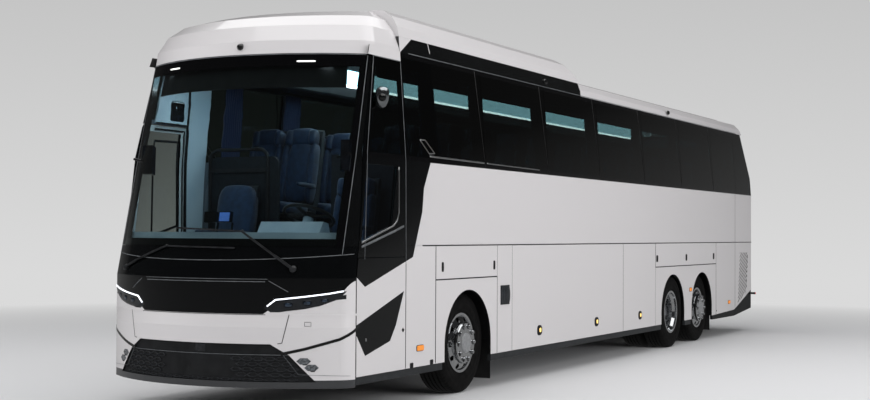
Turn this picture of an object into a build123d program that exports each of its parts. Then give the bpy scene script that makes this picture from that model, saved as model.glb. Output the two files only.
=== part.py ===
"""Three-axle touring coach: body, running gear, doors, flaps and interior.

Millimetres.  The front faces -Y, +X is the driver's side, +Z is up.  The origin is on
the ground, midway along and across the coach.
"""
import os
from math import cos, radians, sin, sqrt, tan

from build123d import *

os.makedirs("parts", exist_ok=True)

# ---------------------------------------------------------------- driving dimensions
FRONT_OVERHANG = 2800.0
WHEELBASE = 6680.0
BOGIE = 1415.0
REAR_OVERHANG = 2965.0
WIDTH = 2550.0
CANT_WIDTH = 2400.0          # width over the top of the side glass

LIP_Z = 265.0                # underside of the front bumper
SILL_Z = 350.0               # lower edge of the side panels
MASK_Z = 890.0               # bumper to black front panel
HINGE_Z = 1476.0             # groove the luggage flaps hang from
SCREEN_Z = 1470.0            # lower edge of the windscreen
DECK_Z = 1400.0              # passenger floor
BELT_Z = 2260.0              # lower edge of the side glass
SCREEN_TOP_Z = 3180.0
CANT_Z = 3255.0              # upper edge of the side glass
ROOF_Z = 3560.0
POD_Z = 3665.0               # crest of the front roof fairings

RAKE_Z = 1200.0              # the front leans back above this height
RAKE = 0.256                 # by this much for each unit of height
NOSE_RADIUS = 1900.0         # front arc, seen from above
CORNER_RADIUS = 180.0
TAIL_LEAN_Z = 2540.0         # the tail leans forward above this height
TAIL_LEAN = 0.64
TAIL_RADIUS = 25000.0
TAIL_CORNER = 70.0

FRAME_SKIN = 20.0            # inner front frame that the panels are fixed to

WALL = 42.0                  # side and front panels with their frames
GLASS = 8.0
GLASS_BED = 1.0              # adhesive gap behind a pane
PANEL_GAP = 6.0              # shut line between panels
LEAF = 36.0                  # thickness of doors and flaps
ROOF_WALL = 45.0
SHEET = 6.0

TYRE_RADIUS = 500.0
TYRE_WIDTH = 295.0
RIM_RADIUS = 298.0           # outer edge of the rim
TWIN_SPACING = 335.0
FRONT_TYRE_X = 1205.0        # outer face of the front tyres
DRIVE_TYRE_X = 1255.0
TAG_TYRE_X = 1210.0
ARCH_RADIUS = 530.0
KINGPIN_X = 930.0
KINGPIN_RADIUS = 26.0
STUD_CIRCLE = 335.0
STUDS = 10

RAIL_X = 430.0               # centre of each chassis rail
RAIL_WIDTH = 80.0
BAY_FLOOR_Z = 430.0          # top of the luggage floor
STEP_COUNT = 3

LENGTH = FRONT_OVERHANG + WHEELBASE + BOGIE + REAR_OVERHANG
HALF = WIDTH / 2
CANT_HALF = CANT_WIDTH / 2
NOSE_Y = -LENGTH / 2
TAIL_Y = LENGTH / 2
FRONT_AXLE_Y = NOSE_Y + FRONT_OVERHANG
DRIVE_AXLE_Y = FRONT_AXLE_Y + WHEELBASE
TAG_AXLE_Y = DRIVE_AXLE_Y + BOGIE
HUB_Z = TYRE_RADIUS

# Body stations along the side, from the front
DOOR_REAR_Y = NOSE_Y + 1470                    # rear edge of the entrance door
SEAM_B_Y = NOSE_Y + 1475                       # service flap to fixed panel
SEAM_C_Y = FRONT_AXLE_Y - 725                  # fixed panel to wheel panel
SEAM_D_Y = FRONT_AXLE_Y + 687                  # wheel panel to vent panel
BAY_Y = (FRONT_AXLE_Y + 1070, DRIVE_AXLE_Y - 790)   # luggage doors, both together
SEAM_E_Y = DRIVE_AXLE_Y - 2100                 # first luggage door to the second
SEAM_F_Y = TAG_AXLE_Y + 760                    # rear wheel panel to rear quarter
REAR_SEAM_Y = TAIL_Y - 1100                    # rear quarter to rear corner
# leaning seam between the front panels and the sides: (y from the nose, z)
FRONT_SEAM = ((570.0, LIP_Z - 20), (570.0, RAKE_Z), (740.0, 2300.0), (1000.0, CANT_Z + 60))
LAST_PANE = ((TAIL_Y - 285, BELT_Z), (TAIL_Y - 108, BELT_Z + 270), (TAIL_Y - 568, CANT_Z))
# joints between the side panes, as shares of the glazed length
PANE_SHARE = (0.0, 0.1417, 0.281, 0.419, 0.5603, 0.6971, 0.8318, 0.9384)
PANE_Y = [SEAM_B_Y + share * (LAST_PANE[0][0] - SEAM_B_Y) for share in PANE_SHARE]
SIDES = (("left", 1), ("right", -1))


# ------------------------------------------------------------------ shared geometry
def half_at(z):
    """Half width of the body at a height: plumb to the belt, then leaning in."""
    if z <= BELT_Z:
        return HALF
    return HALF - (z - BELT_Z) * (HALF - CANT_HALF) / (CANT_Z - BELT_Z)


def nose_at(z):
    """Foremost point of the body at a height."""
    return NOSE_Y + max(0.0, z - RAKE_Z) * RAKE


def box(xs, ys, zs, mode=Mode.ADD):
    """A block between pairs of limits, in the part being built."""
    with Locations((sum(xs) / 2, sum(ys) / 2, sum(zs) / 2)):
        Box(abs(xs[1] - xs[0]), abs(ys[1] - ys[0]), abs(zs[1] - zs[0]), mode=mode)


def carry(plane, points, depth, mode=Mode.ADD):
    """A closed outline on a plane, carried along the plane's normal."""
    with BuildSketch(plane) as outline:
        with BuildLine():
            Polyline(*points, close=True)
        make_face()
    extrude(outline.sketch, amount=depth, mode=mode)


def along_x(points, xs, mode=Mode.ADD):
    """An outline of (y, z) points carried across the coach."""
    carry(Plane.YZ.offset(min(xs)), points, abs(xs[1] - xs[0]), mode)


def along_y(points, ys, mode=Mode.ADD):
    """An outline of (x, z) points carried along the coach."""
    carry(Plane.XZ.offset(-max(ys)), points, abs(ys[1] - ys[0]), mode)


def along_z(points, zs, mode=Mode.ADD):
    """An outline of (x, y) points carried upwards."""
    carry(Plane.XY.offset(min(zs)), points, abs(zs[1] - zs[0]), mode)


def loft_plans(plans, radius, corner, flat_y, mode=Mode.ADD):
    """A body end through plan outlines of (z, half width, tip), flat at flat_y."""
    sections = []
    for z, half, tip in plans:
        out = 1 if tip > flat_y else -1
        root = tip - out * (radius - sqrt(radius**2 - half**2))
        with BuildSketch(Plane.XY.offset(z)) as section:
            with BuildLine():
                ThreePointArc((-half, root), (0, tip), (half, root))
                Polyline((half, root), (half, flat_y), (-half, flat_y), (-half, root))
            make_face()
            ends = section.vertices().filter_by(lambda v: abs(v.Y - root) < 1)
            fillet(ends, min(corner, 1.4 * abs(flat_y - root)))
        sections.append(section.sketch.face())
    loft(sections, ruled=True, mode=mode)


def nose(z_low, z_high, inset, back_y, mode=Mode.ADD):
    """The front of the body as a solid, between two heights, set in from its surface."""
    levels = [z_low, *[z for z in (RAKE_Z, BELT_Z) if z_low < z < z_high], z_high]
    plans = [(z, half_at(z) - inset, nose_at(z) + inset) for z in levels]
    loft_plans(plans, NOSE_RADIUS - inset, CORNER_RADIUS - inset, back_y, mode)


def tail_at(z):
    """Rearmost point of the body at a height."""
    return TAIL_Y - max(0.0, z - TAIL_LEAN_Z) * TAIL_LEAN


def tail(z_low, z_high, inset, front_y, mode=Mode.ADD):
    """The rear of the body as a solid, between two heights, set in from its surface."""
    levels = [z_low, *[z for z in (BELT_Z, TAIL_LEAN_Z) if z_low < z < z_high], z_high]
    plans = [(z, half_at(z) - inset, tail_at(z) - inset) for z in levels]
    loft_plans(plans, TAIL_RADIUS - inset, TAIL_CORNER - inset, front_y, mode)


def nose_skin(z_low, z_high, outer, inner, back_y):
    """A panel on the front of the body: the skin between two insets and two heights."""
    nose(z_low, z_high, outer, back_y)
    nose(z_low - 1, z_high + 1, inner, back_y + 10, Mode.SUBTRACT)


def cut_behind_seam(gap):
    """Trim a front panel at the leaning seam, leaving half the shut line."""
    seam = [(NOSE_Y + y - gap / 2, z) for y, z in FRONT_SEAM]
    points = [*seam, (TAIL_Y, seam[-1][1]), (TAIL_Y, seam[0][1])]
    points[0] = (points[0][0], 0)
    points[-1] = (TAIL_Y, 0)
    points.insert(len(seam), (seam[-1][0] + 200, ROOF_Z + 300))
    points.insert(len(seam) + 1, (TAIL_Y, ROOF_Z + 300))
    along_x(points, (-HALF - 50, HALF + 50), Mode.SUBTRACT)


def side_section(z_low, z_high, outer=0.0, inner=WALL, side=1):
    """Outline of a side panel in (x, z), between two heights and two insets."""
    levels = [z_low, *[z for z in (BELT_Z,) if z_low < z < z_high], z_high]
    out = [(side * (half_at(z) - outer), z) for z in levels]
    back = [(side * (half_at(z) - inner), z) for z in reversed(levels)]
    return out + back


def save(part, name):
    """Label a finished piece and write it."""
    part.part.label = name
    export_step(part.part, f"parts/{name}.step")


# ---------------------------------------------------------------- wheels and tyres
# wheel: (name, axle station, outer face of the tyre, twin)
WHEELS = (
    ("front", FRONT_AXLE_Y, FRONT_TYRE_X, False),
    ("drive", DRIVE_AXLE_Y, DRIVE_TYRE_X, True),
    ("tag", TAG_AXLE_Y, TAG_TYRE_X, False),
)
BEAD_RADIUS = 285.0
FLANGE = 12.0                # rim flange, across the wheel
RIM_SET = 15.0               # rim edge inside the tyre's outer face
BARREL = 12.0                # rim barrel wall
DISC = 14.0                  # wheel disc
PROUD = 58.0                 # single wheel: bolted face ahead of the rim edge
DISH = 120.0                 # single wheel: bolted face back to the ring of hand holes
BORE_RADIUS = 140.5
DISC_RADIUS = 205.0          # flat part of the disc
HAND_HOLES = 10
HAND_HOLE_RADIUS = 17.0
HUB_LENGTH = 86.0            # hub behind the wheel disc
NUT_HEIGHT = 20.0


def tyre_outline(outer_x):
    """Section of a tyre in (x, radius) from bead to tread and back to bead."""
    half = TYRE_WIDTH / 2
    middle = outer_x - half
    bead = half - RIM_SET - FLANGE - 0.3
    shape = [
        (bead, BEAD_RADIUS), (bead, RIM_RADIUS + 2), (half - 8, RIM_RADIUS + 22),
        (half, RIM_RADIUS + 92), (half - 5, TYRE_RADIUS - 55),
        (half - 18, TYRE_RADIUS - 12), (half - 40, TYRE_RADIUS),
    ]
    return [(middle - x, r) for x, r in shape] + [(middle + x, r) for x, r in reversed(shape)]


def barrel_outline(edge, back):
    """Section of a rim barrel in (x, radius) between its two flanges."""
    middle = (edge + back) / 2
    half = (edge - back) / 2
    seat = BEAD_RADIUS - 0.3
    shape = [
        (half, RIM_RADIUS), (half - FLANGE, RIM_RADIUS), (half - FLANGE - 0.3, seat),
        (half - 22, seat), (half - 60, seat - 22),
    ]
    inside = [
        (half - 64, seat - 22 - BARREL), (half - 26, seat - BARREL), (half - 2, seat - BARREL),
    ]
    outline = [(middle + x, r) for x, r in shape] + [(middle - x, r) for x, r in reversed(shape)]
    outline += [(middle - x, r) for x, r in reversed(inside)]
    return outline + [(middle + x, r) for x, r in inside]


def disc_outline(plane_x, lean, reach):
    """Section of a wheel disc, from its bolted face at plane_x out to the barrel."""
    top = BEAD_RADIUS - 31
    shape = [
        (0, BORE_RADIUS), (0, DISC_RADIUS), (reach - 25, top - 33), (reach, top),
        (reach + 25, top), (reach - 7, top - 48), (DISC, DISC_RADIUS - 5), (DISC, BORE_RADIUS),
    ]
    return [(plane_x + lean * x, r) for x, r in shape]


def dish_outline(plane_x):
    """Section of a single wheel's disc: a bolted face standing out from a ring inside the rim."""
    top = BEAD_RADIUS - 31
    shape = [
        (0, BORE_RADIUS), (0, DISC_RADIUS - 10), (10, DISC_RADIUS), (DISH - 14, DISC_RADIUS + 6),
        (DISH - 6, DISC_RADIUS + 12), (DISH, top), (DISH + 18, top), (DISH + 12, DISC_RADIUS + 8),
        (DISH - 4, DISC_RADIUS - 6), (DISC + 6, DISC_RADIUS - 14), (DISC, DISC_RADIUS - 24),
        (DISC, BORE_RADIUS),
    ]
    return [(plane_x - x, r) for x, r in shape]


def turn_on_axle(points, axle_y, side=1, mode=Mode.ADD):
    """Revolve an outline of (x, radius) points about an axle."""
    with BuildSketch(Plane.XZ.offset(-axle_y)) as outline:
        with BuildLine():
            Polyline(*[(side * x, radius + HUB_Z) for x, radius in points], close=True)
        make_face()
    revolve(outline.sketch, axis=Axis((0, axle_y, HUB_Z), (1, 0, 0)), mode=mode)


HUB_END = {}                 # inner end of each hub, where its spindle meets it
HUB_FACE = {}                # bolted face of each outer disc
for wheel_name, axle_y, outer_x, twin in WHEELS:
    edge = outer_x - RIM_SET
    back = outer_x - TYRE_WIDTH + RIM_SET
    if twin:
        joint = (back + edge - TWIN_SPACING) / 2
        discs = [disc_outline(joint, lean, 100.0) for lean in (1, -1)]
        face, cap, hole_circle = joint + DISC, 30.0, DISC_RADIUS + 13
        rims = ((edge, back), (edge - TWIN_SPACING, back - TWIN_SPACING))
        tyres = (outer_x, outer_x - TWIN_SPACING)
    else:
        joint = edge + PROUD
        discs = [dish_outline(joint)]
        face, cap, hole_circle = joint, 14.0, BEAD_RADIUS - 53
        rims = ((edge, back),)
        tyres = (outer_x,)
    behind = joint - DISC
    HUB_END[wheel_name] = behind - HUB_LENGTH
    HUB_FACE[wheel_name] = face
    hub = [
        (face + cap, 0), (face + cap, 70), (face + cap / 2, 84), (face + 2, 96),
        (face, BORE_RADIUS + 1),
        (behind, BORE_RADIUS + 1), (behind, STUD_CIRCLE / 2 + 18), (behind - 26, STUD_CIRCLE / 2 + 18),
        (behind - 26, 110), (behind - HUB_LENGTH, 90), (behind - HUB_LENGTH, 0),
    ]
    for side_name, side in SIDES:
        with BuildPart() as tyre:
            for tyre_x in tyres:
                turn_on_axle(tyre_outline(tyre_x), axle_y, side)
        save(tyre, f"tyre_{wheel_name}_{side_name}")

        with BuildPart() as rim:
            for rim_edge, rim_back in rims:
                turn_on_axle(barrel_outline(rim_edge, rim_back), axle_y, side)
            for disc in discs:
                turn_on_axle(disc, axle_y, side)
            with BuildSketch(Plane.YZ.offset(side * (joint - 160))):
                with Locations((axle_y, HUB_Z)):
                    with PolarLocations(hole_circle, HAND_HOLES):
                        Circle(HAND_HOLE_RADIUS)
            extrude(amount=side * 320, mode=Mode.SUBTRACT)
            turn_on_axle(hub, axle_y, side)
            with BuildSketch(Plane.YZ.offset(side * (face - 2))):
                with Locations((axle_y, HUB_Z)):
                    with PolarLocations(STUD_CIRCLE / 2, STUDS):
                        RegularPolygon(17, 6)
            extrude(amount=side * (NUT_HEIGHT + 2))
        save(rim, f"rim_{wheel_name}_{side_name}")


# ----------------------------------------------------- axle beams, knuckles, steering
FRONT_RAIL_Z = 620.0         # underside of the front rails
REAR_RAIL_Z = 740.0          # underside of the rear rails
SEAT = 0.3                   # gap where a piece rests on another
RUNNING = 0.6                # gap at a hub or a kingpin eye
EYE_RADIUS = 58.0
EYE_HEIGHT = 110.0
FORK_LUG = 42.0
BEAM_DEPTH = 100.0
BELLOWS_RADIUS = 75.0


def bellows(axle_y, low_z, rail_z):
    """A pair of air springs between an axle and the rails, with a waist."""
    top = rail_z - SEAT
    for side_name, side in SIDES:
        with BuildSketch(Plane.XZ.offset(-axle_y)) as half:
            with BuildLine():
                Polyline((side * RAIL_X, low_z), (side * (RAIL_X + 60), low_z),
                         (side * (RAIL_X + BELLOWS_RADIUS), (low_z + top) / 2),
                         (side * (RAIL_X + BELLOWS_RADIUS), top), (side * RAIL_X, top), close=True)
            make_face()
        revolve(half.sketch, axis=Axis((side * RAIL_X, axle_y, 0), (0, 0, 1)))


# the dropped front beam ends in an eye round each kingpin
with BuildPart() as axle_beams:
    beam = [
        (KINGPIN_X, -45), (700, -50), (560, -150), (-560, -150), (-700, -50), (-KINGPIN_X, -45),
        (-KINGPIN_X, 45), (-690, 45), (-530, -60), (530, -60), (690, 45), (KINGPIN_X, 45),
    ]
    along_y([(x, HUB_Z + z) for x, z in beam],
            (FRONT_AXLE_Y - BEAM_DEPTH / 2, FRONT_AXLE_Y + BEAM_DEPTH / 2))
    bellows(FRONT_AXLE_Y, HUB_Z - 61, FRONT_RAIL_Z)
    with Locations(*[(side * KINGPIN_X, FRONT_AXLE_Y, HUB_Z) for side_name, side in SIDES]):
        Cylinder(EYE_RADIUS, EYE_HEIGHT)
        Cylinder(KINGPIN_RADIUS + 0.05, EYE_HEIGHT + 100, mode=Mode.SUBTRACT)
    # drive axle with its final drive
    housing = [(-600, 0), (-600, 85), (-260, 95), (-150, 190), (150, 190), (260, 95), (600, 85),
               (600, 0)]
    turn_on_axle(housing, DRIVE_AXLE_Y)
    with BuildSketch(Plane.XZ.offset(-DRIVE_AXLE_Y)):
        with Locations((0, HUB_Z)):
            Circle(115)
    extrude(amount=280)
    bellows(DRIVE_AXLE_Y, HUB_Z + 60, REAR_RAIL_Z)
    for side_name, side in SIDES:
        end = HUB_END["drive"] - RUNNING
        turn_on_axle([(599, 0), (599, 62), (end, 62), (end, 0)], DRIVE_AXLE_Y, side)
    # straight beam of the tag axle
    box((-700, 700), (TAG_AXLE_Y - 55, TAG_AXLE_Y + 55), (HUB_Z - 60, HUB_Z + 60))
    bellows(TAG_AXLE_Y, HUB_Z + 59, REAR_RAIL_Z)
    for side_name, side in SIDES:
        end = HUB_END["tag"] - RUNNING
        turn_on_axle([(699, 0), (699, 55), (end, 55), (end, 0)], TAG_AXLE_Y, side)
save(axle_beams, "axle_beams")

for side_name, side in SIDES:
    with BuildPart() as knuckle:
        lug_z = EYE_HEIGHT / 2 + RUNNING
        web_x = KINGPIN_X + EYE_RADIUS + 10
        end_x = HUB_END["front"] - RUNNING
        for up in (1, -1):
            with Locations((side * KINGPIN_X, FRONT_AXLE_Y, HUB_Z + up * (lug_z + FORK_LUG / 2))):
                Cylinder(48, FORK_LUG)
            lug = sorted((HUB_Z + up * lug_z, HUB_Z + up * (lug_z + FORK_LUG)))
            box((side * KINGPIN_X, side * (web_x + 22)), (FRONT_AXLE_Y - 45, FRONT_AXLE_Y + 45), lug)
        box((side * web_x, side * (web_x + 22)), (FRONT_AXLE_Y - 60, FRONT_AXLE_Y + 60),
            (HUB_Z - lug_z - FORK_LUG, HUB_Z + lug_z + FORK_LUG))
        turn_on_axle([(web_x + 21, 0), (web_x + 21, 60), (end_x, 60), (end_x, 0)],
                     FRONT_AXLE_Y, side)
        with Locations((side * KINGPIN_X, FRONT_AXLE_Y, HUB_Z)):
            Cylinder(KINGPIN_RADIUS, EYE_HEIGHT + 2 * RUNNING + 20)
    save(knuckle, f"knuckle_{side_name}")


# ------------------------------------------------------------------- chassis frame
RAIL_HEIGHT = 200.0
FRAME_Y = (NOSE_Y + 520, TAIL_Y - 560)
BAY_RAIL_Z = (BAY_FLOOR_Z - 70, BAY_FLOOR_Z - 20)
POST = 80.0
BAY_BULKHEADS = (BAY_Y[0] - 60, BAY_Y[1] + 40)       # stations of the frame's end posts
CEILING = 40.0               # thickness of the floors
CAB_FLOOR_Z = 960.0
CAB_Y = NOSE_Y + 1780        # step up from the driver's floor to the deck
CAB_FRONT_Y = NOSE_Y + 640

with BuildPart() as chassis_frame:
    # rear rails, front rails and the low rails under the luggage bay, tied by posts
    for side_name, side in SIDES:
        rail = (side * (RAIL_X - RAIL_WIDTH / 2), side * (RAIL_X + RAIL_WIDTH / 2))
        box(rail, (FRAME_Y[0], BAY_BULKHEADS[0]), (FRONT_RAIL_Z, FRONT_RAIL_Z + RAIL_HEIGHT))
        box(rail, (BAY_BULKHEADS[1], FRAME_Y[1]), (REAR_RAIL_Z, REAR_RAIL_Z + RAIL_HEIGHT))
        box(rail, (BAY_BULKHEADS[0] - POST, BAY_BULKHEADS[1] + POST), BAY_RAIL_Z)
        box(rail, (BAY_BULKHEADS[0] - POST, BAY_BULKHEADS[0]),
            (BAY_RAIL_Z[0], FRONT_RAIL_Z + RAIL_HEIGHT))
        box(rail, (BAY_BULKHEADS[1], BAY_BULKHEADS[1] + POST),
            (BAY_RAIL_Z[0], REAR_RAIL_Z + RAIL_HEIGHT))
    # cross members: (station, bottom, height)
    for y, z, height in (
        (FRAME_Y[0], FRONT_RAIL_Z, 120), (FRONT_AXLE_Y - 560, FRONT_RAIL_Z + 30, 120),
        (FRONT_AXLE_Y + 560, FRONT_RAIL_Z + 30, 120), (BAY_BULKHEADS[0] - 60, BAY_RAIL_Z[0], 50),
        (SEAM_E_Y, BAY_RAIL_Z[0], 50), (BAY_BULKHEADS[1] + 5, BAY_RAIL_Z[0], 50),
        (DRIVE_AXLE_Y - 500, REAR_RAIL_Z + 30, 120), (TAG_AXLE_Y - 700, REAR_RAIL_Z + 30, 120),
        (TAG_AXLE_Y + 520, REAR_RAIL_Z + 30, 120), (FRAME_Y[1] - 70, REAR_RAIL_Z + 30, 120),
    ):
        box((-RAIL_X, RAIL_X), (y, y + 60), (z, z + height))
    # posts from the rails up to the floors: (station, from, to)
    cab_under = CAB_FLOOR_Z - CEILING - SEAT
    deck_under = DECK_Z - CEILING - SEAT
    for y, z_low, z_high in (
        (CAB_FRONT_Y + 80, FRONT_RAIL_Z, cab_under), (CAB_Y - 220, FRONT_RAIL_Z, cab_under),
        (FRONT_AXLE_Y - 500, FRONT_RAIL_Z, deck_under), (FRONT_AXLE_Y + 500, FRONT_RAIL_Z, deck_under),
        (DRIVE_AXLE_Y - 440, REAR_RAIL_Z, deck_under), (TAG_AXLE_Y - 740, REAR_RAIL_Z, deck_under),
        (TAG_AXLE_Y + 600, REAR_RAIL_Z, deck_under), (FRAME_Y[1] - 80, REAR_RAIL_Z, deck_under),
    ):
        for side_name, side in SIDES:
            box((side * (RAIL_X - RAIL_WIDTH / 2), side * (RAIL_X + RAIL_WIDTH / 2)), (y, y + 60),
                (z_low, z_high))
save(chassis_frame, "chassis_frame")

ENGINE_LENGTH = 1150.0
ENGINE_HEIGHT = 760.0
with BuildPart() as engine:
    # plain block that stands for the engine between the rear rails
    half = RAIL_X - RAIL_WIDTH / 2 - SEAT
    box((-half, half), (SEAM_F_Y, SEAM_F_Y + ENGINE_LENGTH), (HUB_Z - 30, HUB_Z - 30 + ENGINE_HEIGHT))
save(engine, "engine")


# --------------------------------------------------------------- luggage bay and deck
PANEL = 20.0
COVING_Z = 1560.0            # top of the floor's upstand along the side walls
with BuildPart() as luggage_bay:
    # tray on the low rails with a bulkhead at each end
    half = HALF - WALL - SEAT
    box((-half, half), BAY_Y, (BAY_FLOOR_Z - PANEL + SEAT, BAY_FLOOR_Z))
    for y in (BAY_Y[0], BAY_Y[1] - PANEL):
        box((-half, half), (y, y + PANEL), (BAY_FLOOR_Z - PANEL + SEAT, DECK_Z - CEILING - SEAT))
save(luggage_bay, "luggage_bay")

STAIR_X = -HALF + WALL + SEAT   # door side of the stairwell
AISLE_X = -500.0             # inner side of the stairwell
STEP_Y = DOOR_REAR_Y - 20
with BuildPart() as deck:
    # passenger floor, the driver's lower floor, the riser between, and the entrance steps
    half = HALF - WALL - SEAT
    box((-half, half), (CAB_Y, REAR_SEAM_Y), (DECK_Z - CEILING, DECK_Z))
    box((-half, half), (CAB_Y, CAB_Y + PANEL), (CAB_FLOOR_Z - CEILING, DECK_Z - 1))
    box((AISLE_X, half), (CAB_FRONT_Y, CAB_Y + 1), (CAB_FLOOR_Z - CEILING, CAB_FLOOR_Z))
    box((STAIR_X, AISLE_X + 1), (STEP_Y, CAB_Y + 1), (CAB_FLOOR_Z - CEILING, CAB_FLOOR_Z))
    box((AISLE_X, AISLE_X + PANEL), (CAB_FRONT_Y, STEP_Y + PANEL), (SILL_Z + 20, CAB_FLOOR_Z))
    box((STAIR_X, AISLE_X + 1), (STEP_Y, STEP_Y + PANEL), (SILL_Z + 20, CAB_FLOOR_Z))
    box((STAIR_X, AISLE_X + 1), (CAB_FRONT_Y, STEP_Y + 1), (SILL_Z + 20, SILL_Z + 20 + CEILING))
    rise = (CAB_FLOOR_Z - SILL_Z - 60) / STEP_COUNT
    for step in range(1, STEP_COUNT):
        tread_x = STAIR_X + (AISLE_X - STAIR_X) * step / STEP_COUNT
        box((tread_x, AISLE_X + 1), (CAB_FRONT_Y, STEP_Y + 1),
            (SILL_Z + 60 + rise * (step - 1), SILL_Z + 60 + rise * step))
    # upstands that carry the upper side walls, and the floor's curved ends
    for side_name, side in SIDES:
        box((side * (half - PANEL), side * half), (CAB_Y, REAR_SEAM_Y), (DECK_Z - 1, COVING_Z))
    nose(CAB_FLOOR_Z - CEILING, CAB_FLOOR_Z, WALL + FRAME_SKIN + SEAT, CAB_FRONT_Y + 1)
    tail(DECK_Z - CEILING, DECK_Z, WALL + SEAT, REAR_SEAM_Y - 1)
save(deck, "deck")


# ------------------------------------------------------------------- wheel housings
TUB_TOP_Z = 1090.0
STEER_TUB_X = 560.0          # inner wall, clear of a steered tyre
REAR_TUB_X = 570.0
with BuildPart() as wheel_housings:
    # folded sheet boxes over the wheels, open below and to the side
    outer = HALF - WALL - SEAT
    for side_name, side in SIDES:
        for inner, ys in (
            (STEER_TUB_X, (FRONT_AXLE_Y - 640, FRONT_AXLE_Y + 640)),
            (REAR_TUB_X, (DRIVE_AXLE_Y - 590, TAG_AXLE_Y + 590)),
        ):
            box((side * inner, side * outer), ys, (TUB_TOP_Z, TUB_TOP_Z + SHEET))
            box((side * inner, side * (inner + SHEET)), ys, (HUB_Z + 130, TUB_TOP_Z + 1))
            for y in (ys[0], ys[1] - SHEET):
                box((side * inner, side * outer), (y, y + SHEET), (HUB_Z - 60, TUB_TOP_Z + 1))
        middle = (DRIVE_AXLE_Y + TAG_AXLE_Y) / 2
        box((side * REAR_TUB_X, side * outer), (middle - SHEET / 2, middle + SHEET / 2),
            (TUB_TOP_Z - 130, TUB_TOP_Z + 1))
save(wheel_housings, "wheel_housings")


# --------------------------------------------------------------------- side structure
GROOVE = 11.0                # from the hinge line up to the upper panel
ROD = 4.0                    # hinge rod in the groove
ROD_X = HALF - ROD
PANEL_TOP_Z = HINGE_Z - ROD - SEAT
SERVICE_ROD = GROOVE - PANEL_GAP / 2  # service flap's hinge rod, behind the front seam
GLASS_STEP = GLASS + GLASS_BED
PILLAR = 70.0                # window pillar behind each joint
SERVICE_TOP_Z = 1370.0       # top of the driver's side service flap
DOOR_TOP_Z = 2620.0
DOOR_GAP = 14.0              # entrance door shut line at its leading edge
# driver's opening window: (y from the nose, z)
DRIVER_WINDOW = ((655.0, 1512.0), (1200.0, 1640.0), (1305.0, 2195.0), (750.0, 2195.0))


def seam_y(z, shift=0.0):
    """Station of the leaning front seam at a height."""
    for (y0, z0), (y1, z1) in zip(FRONT_SEAM, FRONT_SEAM[1:]):
        if z <= z1:
            break
    return NOSE_Y + y0 + (y1 - y0) * (z - z0) / (z1 - z0) + shift


def seam_points(z_low, z_high, shift=0.0):
    """The leaning front seam between two heights, as (y, z) points going up."""
    bends = [z for y, z in FRONT_SEAM if z_low < z < z_high]
    return [(seam_y(z, shift), z) for z in (z_low, *bends, z_high)]


# rear edge of the last side pane and of the wall behind it: (y, z)
def rear_line(shift):
    """Rear end of the upper side, as (y, z) points going up."""
    edge = [(REAR_SEAM_Y, HINGE_Z + GROOVE), (REAR_SEAM_Y, BELT_Z), *LAST_PANE]
    return [(y + shift, z) for y, z in edge]


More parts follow.
